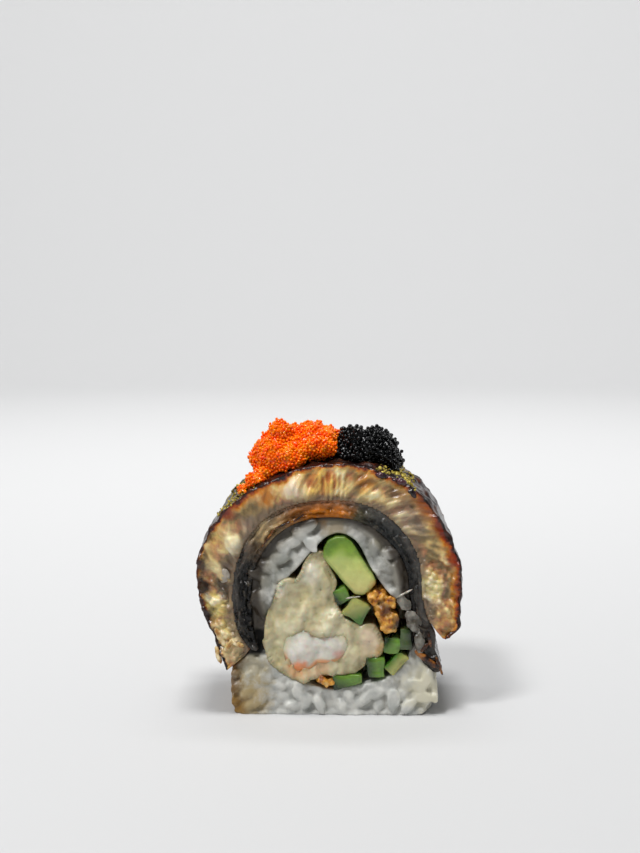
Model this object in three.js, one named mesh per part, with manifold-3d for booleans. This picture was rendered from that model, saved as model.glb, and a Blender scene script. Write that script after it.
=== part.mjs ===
// One slice of an eel-topped sushi roll, in millimetres. A sleeve of nori holds tempura prawn, avocado and
// cucumber. A ring of rice on a flat foot goes round the sleeve, an arch of grilled eel lies over the ring with
// its dark skin inwards, and two heaps of flying-fish roe sit on the crown.
// X runs from left to right across the cut face, Y from the front cut to the back cut, and Z up.
// The origin is on the face that the rice rests on, under the middle of the arch.
import * as THREE from "three";
import { mergeVertices } from "three/addons/utils/BufferGeometryUtils.js";
import Module from "manifold-3d";

const wasm = await Module();
wasm.setup();

// ---- Driving dimensions ----
const SLICE_DEPTH = 25; // from the front cut to the back cut
const ARCH_HALF_WIDTH = 25; // from the middle to the eel's outer face
const ARCH_TOP = 48; // height of the eel's crown
const FOOT_LEFT = -18.9; // the rice's flat foot, from its left side to its right side
const FOOT_RIGHT = 20.4;
const NORI_THICKNESS = 0.45;
const CLEARANCE = 0.3; // between one piece and the next
const GRAIN_LENGTH = 5.4; // a cooked short grain
const GRAIN_WIDTH = 2.7;
const GRAIN_SPACING = 3.5; // from one grain's middle to the next
const PACKED_DEPTH = 8; // of the batter crumbs that close the middle of the hollow
const ROE_EGG = 0.85; // diameter of one egg
const SHORTEST_EDGE = 0.02; // that a cut may leave

const FRONT = -SLICE_DEPTH / 2;
const BACK = SLICE_DEPTH / 2;

// ---- Shared tools ----
// A repeatable stream of numbers from 0 to 1.
function randomStream(seed) {
  let state = seed >>> 0;
  return () => {
    state = (state + 0x6d2b79f5) >>> 0;
    let mixed = Math.imul(state ^ (state >>> 15), state | 1);
    mixed ^= mixed + Math.imul(mixed ^ (mixed >>> 7), mixed | 61);
    return ((mixed ^ (mixed >>> 14)) >>> 0) / 4294967296;
  };
}

// Smooth unevenness from -1 to 1, with waves about the given length in millimetres.
function unevenness(x, y, z, waveLength, phase = 0) {
  const k = (2 * Math.PI) / waveLength;
  const first = Math.sin(k * (x + 0.3 * z) + phase) * Math.cos(k * (0.8 * y + 0.2 * x) + 1.7 * phase);
  const second = Math.sin(k * (0.9 * z - 0.4 * y) + 2.3 + phase);
  return 0.6 * first + 0.4 * second;
}

// A smooth curve through [x, z] pairs in the plane of the cut face.
function curveThrough(pairs, closed = false) {
  const points = pairs.map(([x, z]) => new THREE.Vector3(x, 0, z));
  return new THREE.CatmullRomCurve3(points, closed, "centripetal");
}

// A closed outline through [x, z] pairs, sampled evenly, counter-clockwise as seen from the front.
function closedOutline(pairs, count) {
  const samples = curveThrough(pairs, true).getSpacedPoints(count).slice(0, count);
  const outline = samples.map((p) => new THREE.Vector2(p.x, p.z));
  return THREE.ShapeUtils.isClockWise(outline) ? outline.reverse() : outline;
}

// The outline moved outwards by a distance, or inwards by a negative one.
function grownOutline(outline, distance) {
  const n = outline.length;
  return outline.map((point, i) => {
    const along = outline[(i + 1) % n].clone().sub(outline[(i + n - 1) % n]).normalize();
    return new THREE.Vector2(point.x + along.y * distance, point.y - along.x * distance);
  });
}

// An oval outline, tilted counter-clockwise in degrees.
function ovalOutline({ x, z, halfWidth, halfHeight, tilt = 0 }, count = 9) {
  const centre = new THREE.Vector2(x, z);
  return Array.from({ length: count }, (_, i) => {
    const angle = (2 * Math.PI * i) / count;
    const point = new THREE.Vector2(x + halfWidth * Math.cos(angle), z + halfHeight * Math.sin(angle));
    return point.rotateAround(centre, THREE.MathUtils.degToRad(tilt));
  });
}

// A box outline with rounded corners, tilted counter-clockwise in degrees. Its right side may be lower.
function barOutline({ x, z, width, height, rightHeight = height, tilt = 0 }) {
  const soft = 0.25 * Math.min(width, rightHeight);
  const [halfWidth, left, right] = [width / 2, height / 2, rightHeight / 2];
  const corners = [
    [-halfWidth, -left + soft],
    [-halfWidth + soft, -left],
    [halfWidth - soft, -right],
    [halfWidth, -right + soft],
    [halfWidth, right - soft],
    [halfWidth - soft, right],
    [-halfWidth + soft, left],
    [-halfWidth, left - soft],
  ];
  const origin = new THREE.Vector2();
  const turn = THREE.MathUtils.degToRad(tilt);
  return corners.map(([u, v]) => new THREE.Vector2(u, v).rotateAround(origin, turn).add({ x, y: z }));
}

function geometryFrom(positions, triangles) {
  const geometry = new THREE.BufferGeometry();
  geometry.setAttribute("position", new THREE.Float32BufferAttribute(positions, 3));
  geometry.setIndex(triangles);
  return geometry;
}

// The bare shape of a geometry, with one corner wherever several meet.
function welded(geometry) {
  const bare = geometry.clone();
  bare.deleteAttribute("normal");
  bare.deleteAttribute("uv");
  return mergeVertices(bare, 1e-4);
}

// A closed mesh as a solid that can be cut and joined.
function solidFrom(geometry) {
  const shape = welded(geometry);
  const vertProperties = shape.getAttribute("position").array;
  const triVerts = new Uint32Array(shape.getIndex().array);
  const mesh = new wasm.Mesh({ numProp: 3, vertProperties, triVerts, tolerance: SHORTEST_EDGE });
  return new wasm.Manifold(mesh);
}

// The largest body of a solid as a geometry. Loose scraps of a cut are dropped.
function geometryOfLargest(solid) {
  const bodies = solid.decompose().sort((a, b) => b.volume() - a.volume());
  const mesh = bodies[0].getMesh();
  return geometryFrom(Array.from(mesh.vertProperties), Array.from(mesh.triVerts));
}

function joined(solids) {
  return solids.reduce((whole, solid) => whole.add(solid));
}

// A block of cells whose points are placed by a function of u, v and w, each from 0 to 1.
function blockGeometry([uCells, vCells, wCells], place) {
  const positions = [];
  const triangles = [];
  const addFace = (rows, columns, pointAt, turned) => {
    const first = positions.length / 3;
    for (let i = 0; i <= rows; i++)
      for (let j = 0; j <= columns; j++) positions.push(...pointAt(i / rows, j / columns));
    for (let i = 0; i < rows; i++)
      for (let j = 0; j < columns; j++) {
        const a = first + i * (columns + 1) + j;
        const [b, c, d] = [a + 1, a + columns + 2, a + columns + 1];
        triangles.push(...(turned ? [a, c, b, a, d, c] : [a, b, c, a, c, d]));
      }
  };
  for (const end of [0, 1]) {
    addFace(vCells, wCells, (s, t) => place(end, s, t), end === 0);
    addFace(wCells, uCells, (s, t) => place(t, end, s), end === 0);
    addFace(uCells, vCells, (s, t) => place(s, t, end), end === 0);
  }
  return geometryFrom(positions, triangles);
}

// A pillar that runs along Y through the slice and stands a little proud of both cuts.
// Each end is a blunt dome, drawn as rings of the outline at the given scales.
function pillarGeometry(outline, look) {
  const { layers = 3, dome = 0.3, domeRings = [1], rough = 0, wave = 4, proud = 0 } = look;
  const n = outline.length;
  const middle = outline.reduce((sum, p) => sum.add(p), new THREE.Vector2()).divideScalar(n);
  const end = BACK + proud;
  const height = (scale) => end + dome * (1 - scale * scale);
  const rings = [
    ...domeRings.map((scale) => ({ scale, y: -height(scale) })),
    ...Array.from({ length: layers - 1 }, (_, i) => ({ scale: 1, y: end * ((2 * (i + 1)) / layers - 1) })),
    ...domeRings.toReversed().map((scale) => ({ scale, y: height(scale) })),
  ];
  const positions = [middle.x, -height(0), middle.y];
  for (const { scale, y } of rings)
    for (const point of outline) {
      const spoke = point.clone().sub(middle).multiplyScalar(scale);
      const bump = rough * unevenness(point.x * scale, y, point.y * scale, wave);
      spoke.setLength(spoke.length() + bump * scale);
      const cutBump = scale < 1 ? bump * Math.sign(y) : 0;
      positions.push(middle.x + spoke.x, y + cutBump, middle.y + spoke.y);
    }
  positions.push(middle.x, height(0), middle.y);
  const last = positions.length / 3 - 1;
  const triangles = [];
  for (let i = 0; i < n; i++) {
    const next = (i + 1) % n;
    triangles.push(0, 1 + i, 1 + next);
    for (let ring = 0; ring < rings.length - 1; ring++) {
      const [a, b] = [1 + ring * n + i, 1 + ring * n + next];
      triangles.push(a, a + n, b + n, a, b + n, b);
    }
    triangles.push(last, last - n + next, last - n + i);
  }
  return geometryFrom(positions, triangles);
}

// ---- Layers of the arch: the eel, and its skin on the inside ----
// Each layer runs from the left, over the crown, to the right. A row is one rung of the layer:
// x and z of its outer edge, then x and z of its inner edge.
const EEL_RUNGS = [
  [FOOT_LEFT - 0.7, 8.4, FOOT_LEFT - 0.2, 8.8],
  [-20.5, 11.4, -16.7, 10.8],
  [-21.6, 14.2, -15.4, 12.4],
  [-22.7, 16.9, -17.2, 15],
  [-24.2, 20.6, -18.3, 19.4],
  [-ARCH_HALF_WIDTH, 25.5, -18.4, 24.6],
  [-24.6, 30.6, -17.6, 29.4],
  [-22.4, 35.8, -15.8, 33.6],
  [-18.6, 40.4, -13, 37.1],
  [-13, 44.1, -9.2, 39.6],
  [-6.6, ARCH_TOP - 1.1, -4.6, 41],
  [0, ARCH_TOP, 0, 41.4],
  [6.6, ARCH_TOP - 0.5, 4.8, 41],
  [12.8, ARCH_TOP - 2.8, 9.4, 39.3],
  [18.2, 41.1, 13.2, 36.2],
  [22, 35.5, 15.9, 32.2],
  [24.3, 29.4, 17.2, 27.9],
  [ARCH_HALF_WIDTH, 23.4, 17.5, 23.2],
  [24.6, 18.9, 18.6, 18.9],
  [23.9, 16.2, 20.1, 16.2],
  [22.6, 14.9, 21.3, 14.9],
];
const EEL_CELLS = [46, 3, 5]; // round the arch, through the layer, and across the slice
const CRUST_RELIEF = 0.35;

const SKIN_RUNGS = [
  [-14.8, 12.9, -13.7, 12.4],
  [-16.8, 15.2, -14.5, 15],
  [-18, 19.5, -15, 19.4],
  [-18.1, 24.5, -15.1, 24.2],
  [-17.3, 29.2, -14.4, 28.2],
  [-15.5, 33.3, -12.7, 31.8],
  [-12.8, 36.8, -10.3, 34.7],
  [-9, 39.3, -7.2, 36.8],
  [-4.5, 40.7, -3.6, 38],
  [0, 41.1, 0, 38.3],
  [4.7, 40.7, 3.7, 38],
  [9.2, 39, 7.4, 36.7],
  [12.9, 36, 10.8, 34.1],
  [15.6, 32.1, 13.4, 30.9],
  [16.9, 27.8, 14.9, 27.1],
  [17.1, 23.2, 15.3, 23],
  [18, 18.9, 16, 18.7],
  [19.6, 15.6, 16.7, 15.2],
  [19.4, 12.8, 16.9, 12.5],
  [20.2, 10.8, 17.9, 10.4],
  [20.9, 9.2, 20, 8.7],
];
const SKIN_CELLS = [40, 1, 3];

// The curves, the cells and the roughness of a layer.
function layerFrom(rungs, cells, relief) {
  const outer = curveThrough(rungs.map(([x, z]) => [x, z]));
  const inner = curveThrough(rungs.map(([, , x, z]) => [x, z]));
  return { outer, inner, cells, relief };
}

// The layer as a block. Its outer face and its cut faces are rough, and its inner face is smooth.
function layerBlock({ outer, inner, cells, relief }, grow = 0) {
  return blockGeometry(cells, (u, v, w) => {
    const point = inner.getPoint(u);
    const across = outer.getPoint(u).sub(point);
    point.addScaledVector(across, v);
    const y = FRONT + SLICE_DEPTH * w;
    const crust = relief * v * unevenness(point.x, y, point.z, 5.5);
    const flakes = relief * Math.sin(Math.PI * v) * unevenness(point.x, 9 * w, point.z, 3.5, 1.1);
    point.addScaledVector(across.normalize(), crust + grow * (2 * v - 1));
    point.addScaledVector(outer.getTangent(u), grow * (2 * u - 1));
    const atCut = w === 0 || w === 1 ? 1 : 0;
    point.y = y + (2 * w - 1) * (grow + atCut * (flakes + relief * Math.sin(Math.PI * v)));
    return point.toArray();
  });
}

const eelLayer = layerFrom(EEL_RUNGS, EEL_CELLS, CRUST_RELIEF);
const skinLayer = layerFrom(SKIN_RUNGS, SKIN_CELLS, 0);

// ---- Nori sleeve ----
// The hollow that the fillings lie in: a pear, narrow where the avocado stands at its top.
const HOLLOW = [
  [-12.1, 16.2],
  [-11.8, 12.4],
  [-10.4, 9],
  [-7.6, 6.9],
  [-3.6, 5.5],
  [1, 4.6],
  [5.6, 5.7],
  [10.4, 6.9],
  [13.4, 8.8],
  [15.1, 11.6],
  [15.5, 14.8],
  [14.9, 18.6],
  [14, 21.4],
  [11.6, 23.2],
  [9.4, 26],
  [7, 29.8],
  [4.7, 33.6],
  [1.8, 34.9],
  [-0.9, 34],
  [-3.2, 31.6],
  [-6.2, 28.3],
  [-9.4, 25.2],
  [-11.2, 21.2],
];
const hollowOutline = closedOutline(HOLLOW, 52);

// A flat-ended solid between the two cuts, or one that reaches past them.
function slabSolid(outline, reach = 0) {
  const depth = SLICE_DEPTH + 2 * reach;
  const shape = new THREE.Shape(outline);
  const geometry = new THREE.ExtrudeGeometry(shape, { depth, bevelEnabled: false });
  return solidFrom(geometry.rotateX(Math.PI / 2).translate(0, depth / 2, 0));
}

function noriSleeve() {
  return slabSolid(grownOutline(hollowOutline, NORI_THICKNESS)).subtract(slabSolid(hollowOutline, 1));
}

// ---- Rice ----
// The rice's outer outline: a flat foot with round corners, then the line of the skin over the top.
function riceOutline() {
  const arch = skinLayer.inner.getSpacedPoints(32).map((p) => new THREE.Vector2(p.x, p.z));
  const underSkin = grownOutline(arch, CLEARANCE).slice(1, -1).reverse();
  const foot = new THREE.Shape();
  foot.moveTo(-15.6, 11.8);
  foot.quadraticCurveTo(-17, 10, FOOT_LEFT, 8.4);
  foot.lineTo(FOOT_LEFT, 1.6);
  foot.quadraticCurveTo(FOOT_LEFT, 0, FOOT_LEFT + 1.6, 0);
  foot.lineTo(FOOT_RIGHT - 5, 0);
  foot.quadraticCurveTo(FOOT_RIGHT, 0.2, FOOT_RIGHT, 4.4);
  foot.lineTo(FOOT_RIGHT, 7.4);
  return [...foot.getPoints(5), ...underSkin];
}

const riceOuter = riceOutline();
const riceInner = grownOutline(hollowOutline, NORI_THICKNESS + CLEARANCE);

// Whether a point is inside a closed outline.
function isInside(point, outline) {
  let inside = false;
  for (let i = 0, j = outline.length - 1; i < outline.length; j = i++) {
    const [a, b] = [outline[i], outline[j]];
    if (a.y > point.y === b.y > point.y) continue;
    if (point.x < ((b.x - a.x) * (point.y - a.y)) / (b.y - a.y) + a.x) inside = !inside;
  }
  return inside;
}

// How deep a point of the cut face lies in the rice, from the nearer of its two edges. Outside, it is negative.
function depthInRice(x, z) {
  const point = new THREE.Vector2(x, z);
  const inRice = isInside(point, riceOuter) && !isInside(point, riceInner);
  const nearest = Math.min(...[...riceOuter, ...riceInner].map((p) => p.distanceTo(point)));
  return inRice ? nearest : -nearest;
}

// One cooked grain: an oval with its length along the direction given.
function grain(centre, direction, random) {
  const geometry = new THREE.SphereGeometry(0.5, 5, 4);
  const size = 0.88 + 0.24 * random();
  geometry.scale(GRAIN_WIDTH * size, GRAIN_LENGTH * size, GRAIN_WIDTH * size * 0.92);
  const turn = new THREE.Quaternion().setFromUnitVectors(new THREE.Vector3(0, 1, 0), direction.normalize());
  geometry.applyQuaternion(turn).translate(centre.x, centre.y, centre.z);
  return solidFrom(geometry);
}

// Grains on both cut faces, on a loosened honeycomb, wherever the rice is deep enough to hold one.
function faceGrains() {
  const random = randomStream(7);
  const grains = [];
  const rowStep = GRAIN_SPACING * Math.sqrt(0.75);
  for (const side of [-1, 1])
    for (let row = 0; row * rowStep < ARCH_TOP; row++)
      for (let x = FOOT_LEFT; x < FOOT_RIGHT; x += GRAIN_SPACING) {
        const px = x + (row % 2) * (GRAIN_SPACING / 2) + 0.9 * (random() - 0.5);
        const pz = 1.2 + row * rowStep + 0.9 * (random() - 0.5);
        const turn = Math.PI * random();
        const lean = 0.5 * (random() - 0.5);
        const sink = 0.05 + 0.5 * random();
        if (depthInRice(px, pz) < 1) continue;
        const centre = new THREE.Vector3(px, side * (BACK - sink), pz);
        const direction = new THREE.Vector3(Math.cos(turn), lean, Math.sin(turn));
        grains.push(grain(centre, direction, random));
      }
  return joined(grains);
}

// Grains on the sides of the foot, under the eel on the left and under the skin on the right.
function sideGrains() {
  const random = randomStream(19);
  const grains = [];
  for (const [x, z] of [
    [FOOT_LEFT + 1.1, 2.6],
    [FOOT_LEFT + 1.1, 5.8],
    [FOOT_RIGHT - 1, 5.6],
    [FOOT_RIGHT - 1.8, 2.9],
  ])
    for (let y = FRONT + 2.2; y < BACK - 2; y += 1.3 * GRAIN_SPACING) {
      const centre = new THREE.Vector3(x + 0.5 * (random() - 0.5), y + random() - 0.5, z + random() - 0.5);
      const direction = new THREE.Vector3(0.35 * (random() - 0.5), random() - 0.5, random() - 0.5);
      grains.push(grain(centre, direction, random));
    }
  return joined(grains);
}

function riceSolid(eelGrown, skinGrown) {
  const hollow = slabSolid(riceInner, 4);
  const mould = slabSolid(riceOuter, 4).subtract(hollow);
  const core = slabSolid(riceOuter).subtract(hollow);
  const table = new THREE.BoxGeometry(100, 100, 10).translate(0, 0, -5);
  const packed = core.add(faceGrains().intersect(mould)).add(sideGrains());
  return packed.subtract(eelGrown).subtract(skinGrown).subtract(solidFrom(table));
}

// ---- Fillings ----
const BATTER_EDGE = [
  [-11.7, 17.2],
  [-11.5, 13.4],
  [-10.5, 10.3],
  [-8.2, 8],
  [-5.2, 6.9],
  [-3.4, 7.1],
  [-1.6, 8.3],
  [2.8, 8.4],
  [5.4, 9],
  [6.6, 11.1],
  [8.4, 11.8],
  [9.9, 13],
  [9.3, 14.5],
  [9, 15.7],
  [7.6, 17.1],
  [5.2, 17],
  [2.6, 18.2],
  [1.2, 20.2],
  [0.1, 22.8],
  [0.8, 25.6],
  [-0.7, 28],
  [-1.6, 30.8],
  [-2.6, 31.2],
  [-4, 29.6],
  [-4.9, 27.2],
  [-6.1, 25.4],
  [-7.4, 25.5],
  [-8.5, 25.9],
  [-9.2, 23.8],
  [-10.8, 20.8],
];
const PRAWN_EDGE = [
  [-8.1, 12.2],
  [-7.9, 14.4],
  [-6.6, 15.9],
  [-4.6, 16.5],
  [-2.7, 15.4],
  [-0.7, 15.9],
  [1.9, 15.2],
  [3, 13.5],
  [2.2, 12],
  [0, 10.8],
  [-2.6, 10.7],
  [-4, 9.3],
  [-6.2, 9.2],
  [-7.7, 10.4],
];
const AVOCADO_EDGE = [
  [-0.8, 32],
  [-0.1, 33.3],
  [1.9, 34.1],
  [3.5, 33.4],
  [4.6, 31.8],
  [6.2, 29.1],
  [8.3, 25.7],
  [6.9, 24.4],
  [5.4, 23.5],
  [3.7, 25],
  [1.8, 27.3],
  [0.2, 29],
  [-0.8, 30.4],
];
const CUCUMBER_STICKS = [
  { x: 2.2, z: 23.1, width: 2.2, height: 2.3, tilt: 25 },
  { x: 5.1, z: 20.3, width: 3.6, height: 3.3, tilt: -32 },
  { x: 11.7, z: 13.6, width: 2.6, height: 2.7, tilt: -6 },
  { x: 8.7, z: 9.3, width: 2.8, height: 3.3, tilt: 3 },
  { x: 3.3, z: 6.7, width: 5, height: 2.6, rightHeight: 1.2, tilt: 8 },
  { x: 12.6, z: 10.2, width: 3.9, height: 1.8, tilt: 48 },
  { x: 14.3, z: 14.8, width: 1.8, height: 3.4, tilt: -2 },
];
// Scraps of fried batter: a string of nuggets beside the cucumber, and one flat scrap under the prawn.
const CRISP_NUGGETS = [
  { x: 8.7, z: 22.8, halfWidth: 1.7, halfHeight: 1.1, tilt: 20 },
  { x: 10.8, z: 21.7, halfWidth: 1.3, halfHeight: 0.9 },
  { x: 9.9, z: 20.4, halfWidth: 1.2, halfHeight: 1.4 },
  { x: 11.1, z: 18, halfWidth: 1.6, halfHeight: 1.9, tilt: -15 },
];
const CRISP_SCRAP = { x: -0.9, z: 6.6, halfWidth: 1.6, halfHeight: 0.6, tilt: -12 };

const FRIED = { layers: 3, dome: 0.4, domeRings: [0.5, 1], rough: 0.22, wave: 3.4 };
const TENDER = { layers: 2, dome: 0.5, domeRings: [0.5, 0.85, 1], rough: 0.1, wave: 3, proud: 0.1 };
const FRUIT = { layers: 2, dome: 0.35, domeRings: [0.6, 1], proud: 0.2 };
const CRISPED = { layers: 4, dome: 0.4, rough: 0.3, wave: 2.6, proud: 0.3 };

// Each filling is a piece with a look and one or more outlines.
const prawn = { look: TENDER, outlines: [closedOutline(PRAWN_EDGE, 26)] };
const avocado = { look: FRUIT, outlines: [closedOutline(AVOCADO_EDGE, 20)] };
const cucumbers = CUCUMBER_STICKS.map((stick) => ({ look: FRUIT, outlines: [barOutline(stick)] }));
const nuggets = { look: CRISPED, outlines: CRISP_NUGGETS.map((nugget) => ovalOutline(nugget)) };
const scrap = { look: CRISPED, outlines: [ovalOutline(CRISP_SCRAP)] };

function fillingSolid({ look, outlines }) {
  return joined(outlines.map((outline) => solidFrom(pillarGeometry(outline, look))));
}

// The room that a filling takes, with its clearance.
function roomFor({ look, outlines }) {
  return joined(outlines.map((outline) => slabSolid(grownOutline(outline, CLEARANCE + (look.rough ?? 0)), 2)));
}

// The batter fits round the prawn, and its crumbs are packed round the other fillings in the middle.
function batterSolid() {
  const coat = solidFrom(pillarGeometry(closedOutline(BATTER_EDGE, 38), FRIED));
  const crumbs = slabSolid(grownOutline(hollowOutline, -2.5 * CLEARANCE), PACKED_DEPTH / 2 - BACK);
  const others = [prawn, avocado, ...cucumbers, nuggets, scrap];
  return others.reduce((rest, filling) => rest.subtract(roomFor(filling)), coat.add(crumbs));
}

// ---- Roe ----
// A lump of roe: a ball whose corners stand proud by up to half an egg, like the eggs that show.
function roeLump([x, y, z, halfWidth, halfDepth, halfHeight, detail], grow) {
  const geometry = welded(new THREE.IcosahedronGeometry(1, detail));
  const position = geometry.getAttribute("position");
  const random = randomStream(31 * detail + Math.round(10 * Math.abs(x)));
  const size = new THREE.Vector3(halfWidth, halfDepth, halfHeight);
  for (let i = 0; i < position.count; i++) {
    const outward = new THREE.Vector3().fromBufferAttribute(position, i);
    const swelling = 1 + 0.1 * unevenness(7 * outward.x, 7 * outward.y, 7 * outward.z, 8, x);
    const point = outward.clone().multiply(size).multiplyScalar(swelling);
    point.addScaledVector(outward, grow + (random() * ROE_EGG) / 2);
    position.setXYZ(i, x + point.x, y + point.y, z + point.z);
  }
  return solidFrom(geometry);
}

// Each row is one lump: its centre, its half sizes along X, Y and Z, and how finely it is divided.
const ORANGE_LUMPS = [
  [-8.6, -4, 48.3, 5.5, 6, 5.3, 5],
  [-7.2, 4.2, 48.2, 4.9, 5.4, 4.4, 3],
  [-2.3, -2.4, 49.6, 4.5, 6.2, 4.5, 5],
  [-9.2, -4.4, 53, 2.2, 2.7, 2, 2],
  [-4.2, 0.6, 52.5, 2.8, 3.8, 2, 2],
  [-12.9, -4.4, 47, 2.6, 4, 2.5, 3],
  [-13.4, -9.4, 44.4, 2.3, 2.7, 1.9, 2],
  [-15.8, -10.3, 42.3, 1.7, 1.9, 1.5, 1],
];
const BLACK_LUMPS = [
  [4.9, -3.2, 49.2, 3.9, 5.6, 4.3, 5],
  [9.3, -0.8, 48.4, 3.6, 5.8, 4.2, 4],
  [5.4, 4.2, 48.8, 3.6, 3.8, 3.2, 3],
  [3, -2.6, 52.3, 1.9, 2.7, 1.9, 2],
  [8.4, -1.8, 51.8, 2, 2.9, 1.9, 2],
  [12, -2, 46.6, 1.9, 3.4, 1.8, 2],
];

function roeHeap(lumps, grow = 0) {
  return joined(lumps.map((lump) => roeLump(lump, grow)));
}

// ---- Assembly ----
const FINISHES = {
  rice: new THREE.MeshStandardMaterial({ color: 0xd9d9d4, roughness: 0.45, metalness: 0 }),
  nori: new THREE.MeshStandardMaterial({ color: 0x14180f, roughness: 0.5, metalness: 0 }),
  eel: new THREE.MeshStandardMaterial({ color: 0xb98f5a, roughness: 0.4, metalness: 0 }),
  eelSkin: new THREE.MeshStandardMaterial({ color: 0x34353a, roughness: 0.3, metalness: 0 }),
  batter: new THREE.MeshStandardMaterial({ color: 0xc9bd98, roughness: 0.6, metalness: 0 }),
  prawn: new THREE.MeshStandardMaterial({ color: 0xe0d6d6, roughness: 0.4, metalness: 0 }),
  avocado: new THREE.MeshStandardMaterial({ color: 0xb4bd6a, roughness: 0.5, metalness: 0 }),
  cucumber: new THREE.MeshStandardMaterial({ color: 0x7d9c52, roughness: 0.35, metalness: 0 }),
  crisp: new THREE.MeshStandardMaterial({ color: 0xb8741f, roughness: 0.6, metalness: 0 }),
  orangeRoe: new THREE.MeshStandardMaterial({ color: 0xff6a08, roughness: 0.25, metalness: 0 }),
  blackRoe: new THREE.MeshStandardMaterial({ color: 0x0a0a0c, roughness: 0.2, metalness: 0 }),
};

const roll = new THREE.Group();

function place(name, solid, finish) {
  const mesh = new THREE.Mesh(geometryOfLargest(solid), FINISHES[finish]);
  mesh.name = name;
  roll.add(mesh);
}

const eelGrown = solidFrom(layerBlock(eelLayer, CLEARANCE));
const skinGrown = solidFrom(layerBlock(skinLayer, CLEARANCE));
const blackRoe = roeHeap(BLACK_LUMPS).subtract(eelGrown);
const orangeRoe = roeHeap(ORANGE_LUMPS).subtract(eelGrown).subtract(roeHeap(BLACK_LUMPS, CLEARANCE));

place("rice", riceSolid(eelGrown, skinGrown), "rice");
place("nori", noriSleeve(), "nori");
place("eel", solidFrom(layerBlock(eelLayer)), "eel");
place("eel_skin", solidFrom(layerBlock(skinLayer)), "eelSkin");
place("batter", batterSolid(), "batter");
place("prawn", fillingSolid(prawn), "prawn");
place("avocado", fillingSolid(avocado), "avocado");
cucumbers.forEach((stick, i) => place(`cucumber_${i + 1}`, fillingSolid(stick), "cucumber"));
place("crisp_nuggets", fillingSolid(nuggets), "crisp");
place("crisp_scrap", fillingSolid(scrap), "crisp");
place("orange_roe", orangeRoe, "orangeRoe");
place("black_roe", blackRoe, "blackRoe");

export default roll;
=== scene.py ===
# %% [markdown]
# # A slice of eel-topped sushi roll
# This lesson dresses a plain model of one slice with what the real food shows: moist rice, a sleeve of seaweed,
# fried prawn, avocado and cucumber, an arch of lacquered eel and two heaps of flying-fish roe.
# The plain model comes in first and stays as the frame. Every new piece is made at the place of a plain one and
# then stands for it, so that nothing has to be fitted afterwards.

import math

import bmesh
import bpy
import numpy as np
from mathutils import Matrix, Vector, kdtree, noise


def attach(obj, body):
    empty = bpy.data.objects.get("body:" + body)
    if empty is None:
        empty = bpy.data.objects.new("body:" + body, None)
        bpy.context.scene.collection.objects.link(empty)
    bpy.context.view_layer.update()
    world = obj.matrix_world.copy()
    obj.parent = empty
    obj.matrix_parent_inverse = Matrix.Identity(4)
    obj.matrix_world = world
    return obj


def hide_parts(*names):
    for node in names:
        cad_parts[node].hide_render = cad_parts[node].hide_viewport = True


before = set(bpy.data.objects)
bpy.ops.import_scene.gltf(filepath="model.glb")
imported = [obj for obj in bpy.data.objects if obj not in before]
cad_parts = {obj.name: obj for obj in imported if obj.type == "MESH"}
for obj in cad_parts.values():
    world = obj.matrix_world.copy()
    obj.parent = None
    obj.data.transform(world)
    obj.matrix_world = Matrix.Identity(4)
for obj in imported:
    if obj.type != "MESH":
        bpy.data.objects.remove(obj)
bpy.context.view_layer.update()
print("plain pieces:", ", ".join(sorted(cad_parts)))

# %% [markdown]
# ## Sizes
# Blender works in metres here, and a slice of sushi is thought of in millimetres, so one factor turns one into
# the other. X goes across the front cut, Y from the front cut to the back cut, and Z is up.

# %% Millimetres, and the sizes that several pieces share
MM = 0.001
HALF_DEPTH = 12.5  # from the middle of the slice to either cut
ARCH_CENTRE = 24.0  # height of the point that the eel bends round
ARCH_RADIUS = 25.0
print("the slice is", round(2 * HALF_DEPTH), "mm deep")


# %% [markdown]
# ## Working on one piece at a time
# An operator acts on all that is selected, and the frame arrives selected. So each piece is picked alone before
# anything is done to it, faces are chosen in code by their place or the way they face, and each modifier is
# applied as soon as it is set.

# %% Pick a piece, choose its faces, apply a modifier
def pick(piece):
    bpy.ops.object.select_all(action="DESELECT")
    piece.select_set(True)
    bpy.context.view_layer.objects.active = piece
    return piece


def choose(piece, kind, test):
    """In edit mode, selects the points, edges or faces whose middle in mm and normal pass the test."""
    bpy.ops.mesh.select_mode(type=kind)
    bpy.ops.mesh.select_all(action="DESELECT")
    shape = bmesh.from_edit_mesh(piece.data)
    for element in {"VERT": shape.verts, "EDGE": shape.edges, "FACE": shape.faces}[kind]:
        if kind == "VERT":
            middle, normal = element.co, element.normal
        elif kind == "EDGE":
            middle, normal = (element.verts[0].co + element.verts[1].co) / 2, element.verts[0].normal
        else:
            middle, normal = element.calc_center_median(), element.normal
        element.select_set(bool(test(middle / MM, normal)))
    bmesh.update_edit_mesh(piece.data)


def apply(piece, kind, **settings):
    modifier = piece.modifiers.new(kind.title(), kind)
    for name, value in settings.items():
        setattr(modifier, name, value)
    pick(piece)
    bpy.ops.object.modifier_apply(modifier=modifier.name)
    return piece


def named(piece, name):
    piece.name = name
    piece.data.name = name
    return piece


# %% [markdown]
# ## Camera
# The slice is seen nearly square on and from a little above, from about 27 cm away. The camera stays level from
# side to side, and it looks over the slice, so that the slice sits low in the picture.

# %% Stand the camera
PICTURE_WIDTH, PICTURE_HEIGHT = 640, 853  # pixels
CUT_MIDDLE_PIXEL = (330, 591)  # where the middle of the front cut lies in the picture
PIXELS_PER_MM = 5.3  # at the front cut
CAMERA_AZIMUTH = math.radians(1)
CAMERA_ELEVATION = math.radians(13)
CAMERA_DISTANCE = 270.0
SENSOR = 36.0  # along the picture's long side

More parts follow.
